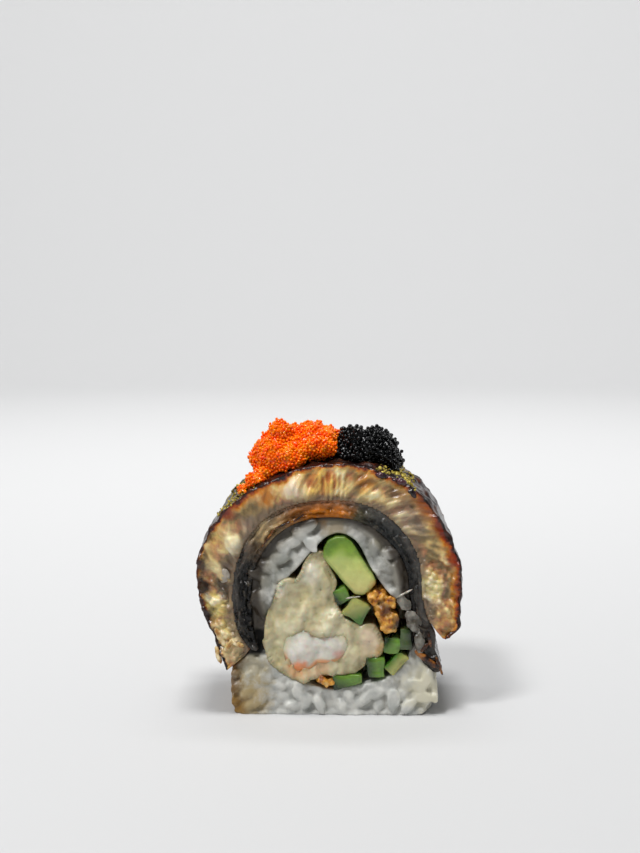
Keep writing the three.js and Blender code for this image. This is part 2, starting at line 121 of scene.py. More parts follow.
focal_pixels = CAMERA_DISTANCE * PIXELS_PER_MM
cut_middle = Vector((0, -HALF_DEPTH, ARCH_CENTRE))
level = Vector((math.sin(CAMERA_AZIMUTH), -math.cos(CAMERA_AZIMUTH), 0)) * math.cos(CAMERA_ELEVATION)
towards_camera = level + Vector((0, 0, math.sin(CAMERA_ELEVATION)))
tip = CAMERA_ELEVATION - math.atan((CUT_MIDDLE_PIXEL[1] - PICTURE_HEIGHT / 2) / focal_pixels)
turn = CAMERA_AZIMUTH + math.atan((CUT_MIDDLE_PIXEL[0] - PICTURE_WIDTH / 2) / focal_pixels)
bpy.ops.object.camera_add(
    location=(cut_middle + towards_camera * CAMERA_DISTANCE) * MM,
    rotation=(math.pi / 2 - tip, 0, turn),
)
camera = bpy.context.object
camera.data.lens = focal_pixels * SENSOR / PICTURE_HEIGHT
camera.data.sensor_width = SENSOR
camera.data.clip_start = 10 * MM
bpy.context.scene.camera = camera
print("lens:", round(camera.data.lens, 1), "mm")


# %% [markdown]
# ## Colours and nodes
# A colour is written as a painter's hex value and turned linear once, here. One small function adds a node,
# sets it and joins it up, so that a material reads as a list of what it is made of. Patterns are sized by the
# real distance between their features.

# %% Hex colours, pattern sizes and one function for nodes
def linear(colour):
    parts = [int(colour[i : i + 2], 16) / 255 for i in (1, 3, 5)]
    return [c / 12.92 if c <= 0.04045 else ((c + 0.055) / 1.055) ** 2.4 for c in parts] + [1.0]


def per_mm(size):
    """The scale of a pattern whose features are this many millimetres apart."""
    return 1 / (size * MM)


def add(tree, kind, inputs=None, stops=None, **settings):
    made = tree.nodes.new("ShaderNode" + kind)
    for name, value in settings.items():
        setattr(made, name, value)
    for name, value in (inputs or {}).items():
        if isinstance(value, bpy.types.NodeSocket):
            tree.links.new(value, made.inputs[name])
        else:
            made.inputs[name].default_value = linear(value) if isinstance(value, str) else value
    if stops:
        ramp = made.color_ramp.elements
        while len(ramp) < len(stops):
            ramp.new(0.5)
        for element, (position, colour) in zip(ramp, stops):
            element.position = position
            element.color = linear(colour)
    return made


def new_material(name):
    material = bpy.data.materials.new(name)
    material.use_nodes = True
    material.node_tree.nodes.clear()
    return material, material.node_tree


def coat_with(piece, material):
    piece.data.materials.clear()
    piece.data.materials.append(material)
    return piece


# %% [markdown]
# ## Patches
# Food is never one colour all over. A patch lies round a spot of the cut, fades out raggedly, and can be laid
# over any colour. The same list of spots serves the front and the back cut.

# %% Lay ragged patches over a colour
def patched(tree, place, base, patches):
    """Each patch is x, z and reach in mm, then its colour and its strength."""
    flat = add(tree, "VectorMath", {0: place, 1: (1, 0, 1)}, operation="MULTIPLY")
    ragged = add(tree, "TexNoise", {"Vector": place, "Scale": per_mm(1.8), "Detail": 5.0, "Roughness": 0.6})
    for x, z, reach, colour, strength in patches:
        gap = add(tree, "VectorMath", {0: flat.outputs["Vector"], 1: (x * MM, 0, z * MM)}, operation="DISTANCE")
        uneven = add(
            tree, "Math", {0: ragged.outputs["Fac"], 1: 1.6 * reach * MM, 2: gap.outputs["Value"]},
            operation="MULTIPLY_ADD",
        )
        fade = add(
            tree, "MapRange",
            {"Value": uneven.outputs["Value"], "From Min": 1.9 * reach * MM, "From Max": 1.2 * reach * MM,
             "To Max": strength},
        )
        base = add(
            tree, "MixRGB", {"Fac": fade.outputs["Result"], "Color1": base, "Color2": colour}
        ).outputs["Color"]
    return base


# %% [markdown]
# ## Table and backdrop
# The slice stands on a plain pale table. A disc whose rim is drawn up into a wall, with a wide bevel where they
# meet, gives the same soft background from every side, and no horizon shows.

# %% The table, with its rim drawn up
TABLE_RADIUS = 1.2  # metres
WALL_HEIGHT = 0.6
bpy.ops.object.select_all(action="DESELECT")
bpy.ops.mesh.primitive_circle_add(vertices=96, radius=TABLE_RADIUS, fill_type="NGON")
table = named(bpy.context.object, "table")
bpy.ops.object.mode_set(mode="EDIT")
choose(table, "EDGE", lambda middle, normal: True)
bpy.ops.mesh.extrude_edges_move(TRANSFORM_OT_translate={"value": (0, 0, WALL_HEIGHT)})
choose(table, "EDGE", lambda middle, normal: middle.z < 1)
bpy.ops.mesh.bevel(offset=WALL_HEIGHT * 0.8, segments=16, affect="EDGES")
bpy.ops.object.mode_set(mode="OBJECT")
bpy.ops.object.shade_smooth()

table_paint, tree = new_material("Matt white painted board")
board = add(tree, "BsdfPrincipled", {"Base Color": "#CACACA", "Roughness": 0.8})
add(tree, "OutputMaterial", {"Surface": board.outputs["BSDF"]})
coat_with(table, table_paint)
print("table faces:", len(table.data.polygons))

# %% [markdown]
# ## Light
# One lamp above lights the tops, and one high at the front left lights the cuts. Both are small, so each egg
# holds a crisp glint. The side of the room behind the camera stays dark, as black roe and wet skin would
# otherwise mirror it and look grey. A third lamp, behind the slice, lights only the backdrop.

# %% The lamps and the faint daylight
world = bpy.data.worlds.new("Faint daylight")
world.use_nodes = True
world.node_tree.nodes["Background"].inputs["Color"].default_value = linear("#EEF3FA")
world.node_tree.nodes["Background"].inputs["Strength"].default_value = 0.15
bpy.context.scene.world = world
bpy.context.scene.view_settings.view_transform = "Standard"

for place, aim_at, size, watts in [
    ((0.05, -0.12, 1.1), (0, 0.3, 0), 0.3, 7.4),
    ((-0.24, -0.33, 0.6), (0, 0, ARCH_CENTRE * MM), 0.14, 2.8),
    ((0, 0.25, 0.75), (0, 1.2, 0.25), 0.5, 6.6),
]:
    heading = (Vector(aim_at) - Vector(place)).to_track_quat("-Z", "Y").to_euler()
    bpy.ops.object.light_add(type="AREA", location=place, rotation=heading)
    lamp = bpy.context.object
    lamp.data.shape = "SQUARE"
    lamp.data.size = size
    lamp.data.energy = watts


# %% [markdown]
# ## From a plain piece to a piece of food
# Each plain solid already has the right form and place, as a roughed-out block has before it is carved. A copy
# of it is merged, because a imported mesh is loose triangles, and remeshed into small even squares. That gives
# clay fine enough to carve, with the form kept.

# %% Copy a plain piece and turn it into even clay
def clay_from(node, name, cell, smoothing=2):
    piece = bpy.data.objects.new(name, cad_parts[node].data.copy())
    bpy.context.scene.collection.objects.link(piece)
    named(piece, name)
    pick(piece)
    bpy.ops.object.mode_set(mode="EDIT")
    bpy.ops.mesh.select_all(action="SELECT")
    bpy.ops.mesh.remove_doubles(threshold=0.001 * MM)
    bpy.ops.object.mode_set(mode="OBJECT")
    apply(piece, "REMESH", mode="VOXEL", voxel_size=cell * MM, use_smooth_shade=True)
    if smoothing:
        apply(piece, "SMOOTH", factor=0.5, iterations=smoothing)
    return piece


# %% [markdown]
# ## Finer clay on the cuts
# The cuts are what the eye goes to. Their faces are chosen by the way they face and subdivided, so that the
# fine fibres can be carved there, and the rest of the piece stays light.

# %% Subdivide the cut faces
def refine_cuts(piece):
    pick(piece)
    bpy.ops.object.mode_set(mode="EDIT")
    choose(piece, "FACE", lambda middle, normal: abs(normal.y) > 0.6 and abs(middle.y) > HALF_DEPTH - 2)
    bpy.ops.mesh.subdivide(number_cuts=1, smoothness=0)
    bpy.ops.object.mode_set(mode="OBJECT")
    pick(piece)
    bpy.ops.object.shade_smooth()
    return piece


# %% [markdown]
# ## Carving by rule
# Sculpt brushes need a window, so the strokes are written down instead: every point moves along its normal by a
# height that depends on its place. Smooth noise gives lumps, noise stretched one way gives fibres, and cells
# give blisters and curds.

# %% Read the points of a piece, and move them
def points_of(piece):
    flat = np.empty(3 * len(piece.data.vertices), np.float32)
    piece.data.vertices.foreach_get("co", flat)
    return flat.reshape(-1, 3).astype(float) / MM


def normals_of(piece):
    flat = np.empty(3 * len(piece.data.vertices), np.float32)
    piece.data.vertex_normals.foreach_get("vector", flat)
    return flat.reshape(-1, 3).astype(float)


def set_points(piece, points):
    piece.data.vertices.foreach_set("co", (points * MM).astype(np.float32).ravel())
    piece.data.update()


def carve(piece, heights):
    set_points(piece, points_of(piece) + normals_of(piece) * np.asarray(heights)[:, None])


# %% Strokes: lumps, cells and soft steps
def lumps(points, size, seed=0):
    """Smooth noise from about -1 to 1, with lumps this many millimetres apart. Three sizes stretch it."""
    scaled = points / np.asarray(size, float)
    away_from_others = Vector((13.7 * seed, 5.1 * seed, 3.3 * seed))
    return np.array([noise.noise(Vector(p) + away_from_others) for p in scaled]) * 1.6


def cells(points, size, seed=0):
    """0 in the middle of each cell and about 1 at its edge, with cells of this size."""
    scaled = points / np.asarray(size, float)
    away_from_others = Vector((13.7 * seed, 5.1 * seed, 3.3 * seed))
    return np.array([noise.voronoi(Vector(p) + away_from_others)[0][0] for p in scaled]) * 1.4


def step(values, low, high):
    """0 below low, 1 above high and smooth between. With low above high it falls instead."""
    share = np.clip((np.asarray(values, float) - low) / (high - low), 0, 1)
    return share * share * (3 - 2 * share)


# %% [markdown]
# ## Measuring from an edge
# Much of food's colour goes by how far a spot lies from a crust, a rind or a skin. So each point of a piece is
# told its distance to the nearest point of such an edge, measured in the plane of the cut. It is kept on the
# mesh under a name, where both the carving and the materials can read it.

# %% Store a measure on the mesh
def store(piece, name, values):
    attribute = piece.data.attributes.new(name, "FLOAT", "POINT")
    attribute.data.foreach_set("value", np.asarray(values, np.float32))
    return np.asarray(values)


def distance_from(piece, name, is_edge):
    points = points_of(piece)
    edge = points[is_edge]
    tree = kdtree.KDTree(len(edge))
    for i, (x, _, z) in enumerate(edge):
        tree.insert((x, 0, z), i)
    tree.balance()
    return store(piece, name, [tree.find((x, 0, z))[2] for x, _, z in points])


# %% [markdown]
# ## Measuring hollows
# Less light reaches a crease and sauce settles there, so the finishes paint a crease darker than a ridge, as
# painted shade with a little stain. How deep in a hollow a point lies is how far its smoothed surroundings
# stand above it.

# %% Store how deep in a hollow each point lies
def hollows(piece, passes=20):
    points = points_of(piece)
    ends = np.empty(2 * len(piece.data.edges), np.int32)
    piece.data.edges.foreach_get("vertices", ends)
    one, other = ends.reshape(-1, 2).T
    here, there = np.concatenate([one, other]), np.concatenate([other, one])
    neighbours = np.bincount(here, minlength=len(points))
    smoothed = points.T
    for _ in range(passes):
        smoothed = [np.bincount(here, axis[there], len(points)) / neighbours for axis in smoothed]
    return store(piece, "hollow", ((np.stack(smoothed, axis=1) - points) * normals_of(piece)).sum(axis=1))


# %% [markdown]
# ## Eel: the shape
# Grilled eel is a thick fillet. Its flesh parts into soft flakes that stand across the arch, it curdles at its
# thin ends, and the lacquered outside is blistered by the flame. The crust is stiffer than the flesh, so it
# stands a little proud round the cut. What was carved high is kept as a measure, because the finish paints the
# flesh paler there and darker in the grooves, as painted light and shade.

# %% Model the eel
def arch_angles(points):
    """Degrees round the arch: 0 at the crown, below 0 to the left, above 0 to the right."""
    return np.degrees(np.arctan2(points[:, 0], points[:, 2] - ARCH_CENTRE))


def bump_at(points, x, z, radius):
    """1 at a spot of the cut, falling to 0 over the radius."""
    return np.exp(-((points[:, 0] - x) ** 2 + (points[:, 2] - z) ** 2) / radius**2)


EEL_CELL = 0.36
CLOSING = 0.3  # how far a soft piece swells to meet its neighbour
eel = refine_cuts(clay_from("eel", "grilled_eel", EEL_CELL, smoothing=1))
points, normals = points_of(eel), normals_of(eel)
angles = arch_angles(points)
outward = np.stack([np.sin(np.radians(angles)), 0 * angles, np.cos(np.radians(angles))], axis=1)
facing = (normals * outward).sum(axis=1)
crust_depth = distance_from(eel, "crust_depth", facing > 0.75)
skin_distance = distance_from(eel, "skin_distance", facing < -0.75)
along = store(eel, "along", np.radians(angles) * ARCH_RADIUS)
on_cut = step(np.abs(normals[:, 1]), 0.35, 0.85)

side = np.sign(points[:, 1]) * 40
laid_out = np.stack([along, crust_depth, side], axis=1)
warped = laid_out + np.stack([1.2 * lumps(points, 4.0, seed=51), 0 * along, 0 * along], axis=1)
patchy = step(lumps(points, 6.0, seed=52), -0.1, 0.5)
fibres = lumps(warped, (0.8, 3.5, 1), seed=1) * patchy
slanted = np.stack([along + 0.9 * crust_depth, crust_depth - 0.4 * along, side], axis=1)
flakes = lumps(slanted, (2.2, 4.5, 1), seed=2) + 0.5 * lumps(slanted, (1.0, 2.4, 1), seed=54)
curds = 0.5 - cells(laid_out, (1.5, 1.2, 1), seed=3)
curdled = np.maximum(step(angles, 62, 80), step(angles, -72, -92))
comb = np.sin(along * 2 * math.pi / 1.3) * step(np.abs(along - 0.5), 4, 2.5) * step(crust_depth, 1, 2)
proud_rim = np.exp(-((crust_depth / 0.7) ** 2)) * (0.6 + 0.8 * lumps(points, 1.8, seed=55))
torn = bump_at(points, -6.6, 43.3, 1.9) + bump_at(points, -3.9, 42.4, 1.2) + bump_at(points, -18.0, 32.6, 1.6)
cut_height = 0.16 * fibres + 0.42 * flakes + 0.8 * curds * curdled + 0.2 * comb + 1.1 * torn
blisters = np.maximum(lumps(points, 2.4, seed=4), 0) + 0.15 * lumps(points, 0.9, seed=5)
wrinkles = lumps(laid_out * [1, 0, 0] + points * [0, 1, 0], (2.6, 5.0, 1), seed=59)
crust_height = 0.3 * blisters * (1 + step(points[:, 2], 36, 44)) + 0.14 * wrinkles - 0.1
store(eel, "raised", on_cut * cut_height + (1 - on_cut) * (blisters - 0.5))
inside = step(skin_distance, 0.5, 0.1) * (1 - on_cut)
carve(
    eel,
    on_cut * (cut_height + 0.35 * proud_rim - 0.1)
    + (1 - on_cut) * step(crust_depth, 1.0, 0.3) * crust_height
    + CLOSING * inside,
)
print("eel:", len(eel.data.polygons), "faces")

# %% [markdown]
# ## Eel: the finish
# Broiled eel glazed with a sweet soy lacquer. From outside in, the eye meets charred and red-brown lacquer with
# a hard shine, an amber band that the sauce has soaked, then moist cream flesh that lets light in, and last a
# mauve-grey line of fat beside the skin. The band is wide on the shoulders and on the right flank and thin at
# the crown, so its depth is divided by a width that changes along the arch.

# %% Broiled eel under soy lacquer
eel_finish, tree = new_material("Broiled eel under soy lacquer")
place = add(tree, "TexCoord").outputs["Object"]
crust = add(tree, "Attribute", attribute_name="crust_depth").outputs["Fac"]
skin = add(tree, "Attribute", attribute_name="skin_distance").outputs["Fac"]
length = add(tree, "Attribute", attribute_name="along").outputs["Fac"]
raised = add(tree, "Attribute", attribute_name="raised").outputs["Fac"]

blotch = add(tree, "TexNoise", {"Vector": place, "Scale": per_mm(4.5), "Detail": 4.0})
flesh = add(
    tree, "ValToRGB", {"Fac": blotch.outputs["Fac"]},
    stops=[(0.3, "#94805A"), (0.44, "#C0A670"), (0.54, "#DEC68E"), (0.68, "#F2E4BC")],
)
spotted = patched(
    tree, place, flesh.outputs["Color"],
    [
        (-14.9, 36.1, 2.6, "#BCA794", 0.8),  # a pale mauve vein beside the left shoulder
        (-15.8, 33.2, 2.0, "#75675C", 0.9),
        (-10.0, 38.3, 4.0, "#A68658", 0.8),  # brown gristle over the jelly
        (-18.2, 32.2, 2.6, "#E4DABC", 0.9),
        (-19.4, 28.2, 2.4, "#857066", 0.8),
        (-6.6, 43.3, 3.0, "#EAD2BA", 0.9),  # a torn, pinkish flake
        (-21.0, 22.0, 3.2, "#EEE2BC", 0.9),
        (-18.8, 17.0, 3.6, "#EADDB6", 0.9),
        (-19.6, 12.6, 2.4, "#E6D2A0", 0.8),
        (-1.5, 44.4, 4.5, "#D8A852", 0.8),  # golden flesh under the crown
        (6.5, 45.0, 2.6, "#C6862E", 0.8),
        (-19.6, 34.4, 2.6, "#E2D2A6", 0.8),
        (-22.0, 28.5, 2.2, "#DECDA0", 0.8),
        (13.6, 40.0, 3.4, "#CABE9A", 0.8),
        (15.6, 37.4, 3.6, "#B8A892", 0.6),
        # Painted shade in the break between two flakes.
        (16.6, 36.8, 1.8, "#75665A", 0.8),  # a dark break between two flakes
        (12.6, 42.8, 2.2, "#8E6034", 0.8),
        (-19.6, 24.6, 2.2, "#6C5E50", 0.9),  # mauve-grey fat beside the skin
        (-18.4, 29.4, 1.6, "#73645A", 0.8),
        (18.8, 24.6, 3.4, "#EDE6CB", 0.9),  # curds near the right end
        (15.4, 40.2, 0.6, "#2A1A10", 1.0),
        (-14.1, 36.2, 0.5, "#15100C", 1.0),
    ],
)
laid = add(tree, "CombineXYZ", {"X": length, "Y": crust})
stretched = add(tree, "Mapping", {"Vector": laid.outputs["Vector"], "Scale": (1.1, 0.28, 1.0)})
fibre = add(tree, "TexNoise", {"Vector": stretched.outputs["Vector"], "Scale": 1.0, "Detail": 4.0})
fibrous = add(
    tree, "MixRGB", {"Fac": 0.35, "Color1": spotted, "Color2": fibre.outputs["Fac"]}, blend_type="OVERLAY"
)
# Painted light and shade: the colour is made paler where the flesh was carved high and darker in its grooves.
height = add(tree, "MapRange", {"Value": raised, "From Min": -0.3, "From Max": 0.45})
lit = add(
    tree, "ValToRGB", {"Fac": height.outputs["Result"]},
    stops=[(0.0, "#645C5A"), (0.4, "#828080"), (0.85, "#D2CEC4")],
)
carved = add(
    tree, "MixRGB", {"Fac": 0.75, "Color1": fibrous.outputs["Color"], "Color2": lit.outputs["Color"]},
    blend_type="OVERLAY",
)
fat_waver = add(tree, "Math", {0: blotch.outputs["Fac"], 1: 3.0, 2: skin}, operation="MULTIPLY_ADD")
fat = add(
    tree, "MapRange", {"Value": fat_waver.outputs["Value"], "From Min": 3.0, "From Max": 1.8, "To Max": 0.85}
)
fatty = add(
    tree, "MixRGB",
    {"Fac": fat.outputs["Result"], "Color1": carved.outputs["Color"], "Color2": "#84705A"},
)

flank = add(tree, "MapRange", {"Value": length, "From Min": -48.0, "From Max": 48.0})
band_width = add(
    tree, "ValToRGB", {"Fac": flank.outputs["Result"]},
    stops=[
        (0.0, "#6E6E6E"), (0.2, "#6E6E6E"), (0.3, "#D8D8D8"), (0.42, "#B0B0B0"), (0.5, "#7A7A7A"),
        (0.62, "#B4B4B4"), (0.75, "#F0F0F0"), (0.95, "#D0D0D0"), (1.0, "#909090"),
    ],
)
width = add(
    tree, "MapRange", {"Value": band_width.outputs["Color"], "To Min": 0.5, "To Max": 3.2}
)
waver = add(tree, "TexNoise", {"Vector": place, "Scale": per_mm(2.0), "Detail": 5.0, "Roughness": 0.6})
wavered = add(tree, "Math", {0: waver.outputs["Fac"], 1: 2.6, 2: crust}, operation="MULTIPLY_ADD")
streaked = add(
    tree, "Math", {0: fibre.outputs["Fac"], 1: 1.0, 2: wavered.outputs["Value"]}, operation="MULTIPLY_ADD"
)
shifted = add(tree, "Math", {0: streaked.outputs["Value"], 1: 1.65}, operation="SUBTRACT")
soaked = add(
    tree, "Math", {0: shifted.outputs["Value"], 1: width.outputs["Result"]}, operation="DIVIDE"
)
amber = add(
    tree, "ValToRGB", {"Fac": soaked.outputs["Value"]},
    stops=[(0.0, "#1E0A06"), (0.2, "#54190A"), (0.38, "#A44A10"), (0.62, "#CC882C"), (1.0, "#D6B674")],
)
past_band = add(tree, "MapRange", {"Value": soaked.outputs["Value"], "From Min": 0.5, "From Max": 1.15})
body = add(
    tree, "MixRGB",
    {"Fac": past_band.outputs["Result"], "Color1": amber.outputs["Color"], "Color2": fatty.outputs["Color"]},
)
burnt = patched(
    tree, place, body.outputs["Color"],
    [
        (17.8, 40.4, 2.2, "#9C4A18", 0.75),  # glossy orange lacquer on the right shoulder
        (14.6, 41.8, 2.4, "#7E5230", 0.6),
        (17.6, 38.6, 2.2, "#84583A", 0.55),
        (20.9, 35.9, 2.2, "#7A220A", 0.9),
        (23.2, 30.0, 2.0, "#84290C", 0.9),
        (-11.8, 41.8, 2.2, "#B8701E", 0.9),
        (-19.0, 38.6, 1.8, "#7E2A18", 0.8),
        (-24.4, 29.0, 2.4, "#2A120A", 0.9),  # the thick burnt edge of the left flank
        (-24.4, 24.5, 2.6, "#1A0B07", 0.95),
        (-23.8, 19.5, 2.5, "#1A0B07", 0.95),
        (-22.4, 15.5, 1.8, "#241009", 0.9),
        (-19.0, 12.6, 2.6, "#DCC898", 0.85),  # pale curds at the left end
        (-23.2, 34.5, 1.8, "#3A1A10", 0.8),
    ],
)
char_spots = add(tree, "TexNoise", {"Vector": place, "Scale": per_mm(3.4), "Detail": 6.0, "Roughness": 0.65})
lacquer = add(
    tree, "ValToRGB", {"Fac": char_spots.outputs["Fac"]},
    stops=[(0.38, "#120809"), (0.5, "#26110C"), (0.6, "#44200F"), (0.7, "#6A3814"), (0.82, "#96602A")],
)
thin = add(tree, "Math", {0: waver.outputs["Fac"], 1: 2.4, 2: crust}, operation="MULTIPLY_ADD")
outside = add(tree, "MapRange", {"Value": thin.outputs["Value"], "From Min": 1.65, "From Max": 1.25})
really_outside = add(tree, "MapRange", {"Value": crust, "From Min": 0.3, "From Max": 0.1})
crusted = add(
    tree, "Math", {0: outside.outputs["Result"], 1: really_outside.outputs["Result"]}, operation="MAXIMUM"
)
whole = add(
    tree, "MixRGB",
    {"Fac": crusted.outputs["Value"], "Color1": burnt, "Color2": lacquer.outputs["Color"]},
)
grain = add(tree, "TexNoise", {"Vector": place, "Scale": per_mm(0.5), "Detail": 4.0})
fine = add(tree, "Bump", {"Height": grain.outputs["Fac"], "Strength": 0.4, "Distance": 0.15 * MM})
ridged = add(
    tree, "Bump",
    {"Height": fibre.outputs["Fac"], "Normal": fine.outputs["Normal"], "Strength": 0.3, "Distance": 0.2 * MM},
)
gloss = add(tree, "MapRange", {"Value": past_band.outputs["Result"], "To Min": 0.3, "To Max": 0.36})
wet = add(tree, "MapRange", {"Value": past_band.outputs["Result"], "To Min": 0.25, "To Max": 0.15})
eel_surface = add(
    tree, "BsdfPrincipled",
    {
        "Base Color": whole.outputs["Color"], "Roughness": gloss.outputs["Result"], "IOR": 1.4,
        "Normal": ridged.outputs["Normal"], "Subsurface Weight": 0.2, "Subsurface Scale": 0.8 * MM,
        "Coat Weight": wet.outputs["Result"], "Coat Roughness": 0.12,
    },
)
add(tree, "OutputMaterial", {"Surface": eel_surface.outputs["BSDF"]})
coat_with(eel, eel_finish)


# %% [markdown]
# ## Eel skin
# Under the flesh lies the skin, a wet slate-black layer. Over the crown the sauce has turned the fat beneath it
# into an amber jelly, and it is olive-black where it meets the rice. It is carved with a few long wrinkles,
# and it swells to meet the flesh on one side and the rice on the other. Light and shade are also painted into
# its colour: lighter on the raised folds, pale flecks as glints, silver sheen where it shows edge on, and near
# black in the gap beside the rice on the left.

# %% Model and finish the skin
skin_layer = refine_cuts(clay_from("eel_skin", "eel_skin_layer", 0.36, smoothing=1))
points, normals = points_of(skin_layer), normals_of(skin_layer)
angles = arch_angles(points)
along = store(skin_layer, "along", np.radians(angles) * ARCH_RADIUS)
on_cut = step(np.abs(normals[:, 1]), 0.35, 0.85)
outward = np.stack([np.sin(np.radians(angles)), 0 * angles, np.cos(np.radians(angles))], axis=1)
facing = (normals * outward).sum(axis=1)
flesh_distance = distance_from(skin_layer, "flesh_distance", facing > 0.75)
laid_out = np.stack([along, flesh_distance, np.sign(points[:, 1]) * 40], axis=1)
folds = lumps(laid_out, (5.0, 1.1, 1), seed=6) + 0.4 * lumps(laid_out, (1.6, 0.8, 1), seed=56)
ragged_end = step(angles, 118, 132) * lumps(points, 1.6, seed=53)
carve(
    skin_layer,
    on_cut * (0.6 * folds + 0.1 * lumps(points, 0.9, seed=7) - 0.2) + (1 - on_cut) * 1.2 * CLOSING
    + 0.5 * ragged_end,
)
store(skin_layer, "raised", folds)

skin_finish, tree = new_material("Wet eel skin and amber jelly")
place = add(tree, "TexCoord").outputs["Object"]
length = add(tree, "Attribute", attribute_name="along").outputs["Fac"]
from_flesh = add(tree, "Attribute", attribute_name="flesh_distance").outputs["Fac"]
raised = add(tree, "Attribute", attribute_name="raised").outputs["Fac"]
waver = add(tree, "TexNoise", {"Vector": place, "Scale": per_mm(2.0), "Detail": 4.0})
wandering = add(tree, "Math", {0: waver.outputs["Fac"], 1: 7.0, 2: length}, operation="MULTIPLY_ADD")
share = add(tree, "MapRange", {"Value": wandering.outputs["Value"], "From Min": -46.5, "From Max": 53.5})
band = add(
    tree, "ValToRGB", {"Fac": share.outputs["Result"]},
    stops=[
        (0.0, "#060505"), (0.19, "#0B0C0C"), (0.23, "#5A4834"), (0.34, "#94744A"), (0.43, "#B2660E"),
        (0.53, "#B4660A"), (0.585, "#403A24"), (0.66, "#1A1C1C"), (0.86, "#080908"), (1.0, "#160E08"),
    ],
)
silver = add(
    tree, "MapRange", {"Value": from_flesh, "From Min": 1.7, "From Max": 0.3, "To Max": 0.5}
)
fatty_edge = add(
    tree, "MixRGB", {"Fac": silver.outputs["Result"], "Color1": band.outputs["Color"], "Color2": "#5E5A55"}
)
# Painted shade and sheen: the gap between skin and rice on the left is painted near black as shade.
painted_shade_and_sheen = patched(
    tree, place, fatty_edge.outputs["Color"],
    [
        (-14.6, 27.5, 2.0, "#060505", 0.9),  # the gap between skin and rice on the left
        (-14.8, 24.0, 2.8, "#030303", 0.95),
        (-14.8, 20.0, 3.0, "#020202", 0.95),
        (-14.2, 15.5, 3.4, "#020202", 0.95),
        (-12.5, 35.2, 3.0, "#A69068", 0.75),
        # The next two patches are painted sheen, silver where the skin shows edge on.
        (8.0, 38.3, 2.0, "#5E5C56", 0.4),  # silver where the skin shows edge on
        (12.4, 36.0, 2.0, "#3E403E", 0.5),
    ],
)
# Painted light and shade on the folds, mixed with the skin's own mottle: raised folds are made lighter.
height = add(tree, "MapRange", {"Value": raised, "From Min": -0.8, "From Max": 0.8})
parts = add(tree, "SeparateXYZ", {"Vector": place})
laid = add(tree, "CombineXYZ", {"X": length, "Y": from_flesh, "Z": parts.outputs["Y"]})
drawn = add(tree, "Mapping", {"Vector": laid.outputs["Vector"], "Scale": (0.5, 1.3, per_mm(2.5))})
mottle = add(tree, "TexNoise", {"Vector": drawn.outputs["Vector"], "Scale": 1.0, "Detail": 5.0})
mixed = add(tree, "Math", {0: mottle.outputs["Fac"], 1: 0.6, 2: 0.0}, operation="MULTIPLY_ADD")
pattern = add(
    tree, "Math", {0: height.outputs["Result"], 1: 0.4, 2: mixed.outputs["Value"]}, operation="MULTIPLY_ADD"
)
mottle_and_painted_fold_light = add(
    tree, "MixRGB",
    {"Fac": 0.7, "Color1": painted_shade_and_sheen, "Color2": pattern.outputs["Value"]},
    blend_type="OVERLAY",
)
# Pale flecks painted as glints.
painted_glint_flecks = add(
    tree, "MapRange", {"Value": mottle.outputs["Fac"], "From Min": 0.54, "From Max": 0.72, "To Max": 0.3}
)
with_painted_glints = add(
    tree, "MixRGB",
    {"Fac": painted_glint_flecks.outputs["Result"], "Color1": mottle_and_painted_fold_light.outputs["Color"], "Color2": "#857B6C"},
)
grain_bump = add(tree, "Bump", {"Height": mottle.outputs["Fac"], "Strength": 0.9, "Distance": 0.5 * MM})
skin_surface = add(
    tree, "BsdfPrincipled",
    {
        "Base Color": with_painted_glints.outputs["Color"], "Roughness": 0.18, "IOR": 1.28,
        "Normal": grain_bump.outputs["Normal"], "Subsurface Weight": 0.1, "Subsurface Scale": 1.0 * MM,
        "Coat Weight": 0.25, "Coat Roughness": 0.06, "Coat Normal": grain_bump.outputs["Normal"],
    },
)
add(tree, "OutputMaterial", {"Surface": skin_surface.outputs["BSDF"]})
coat_with(skin_layer, skin_finish)
print("skin:", len(skin_layer.data.polygons), "faces")


# %% [markdown]
# ## Scattering
# Rice, eggs and crumbs are many copies of one small thing. Geometry Nodes spreads points over a core so that no
# two come closer than a set distance, lays a copy on each with its own turn, size and depth, and makes the
# copies real. A measure on the core says where they may lie.

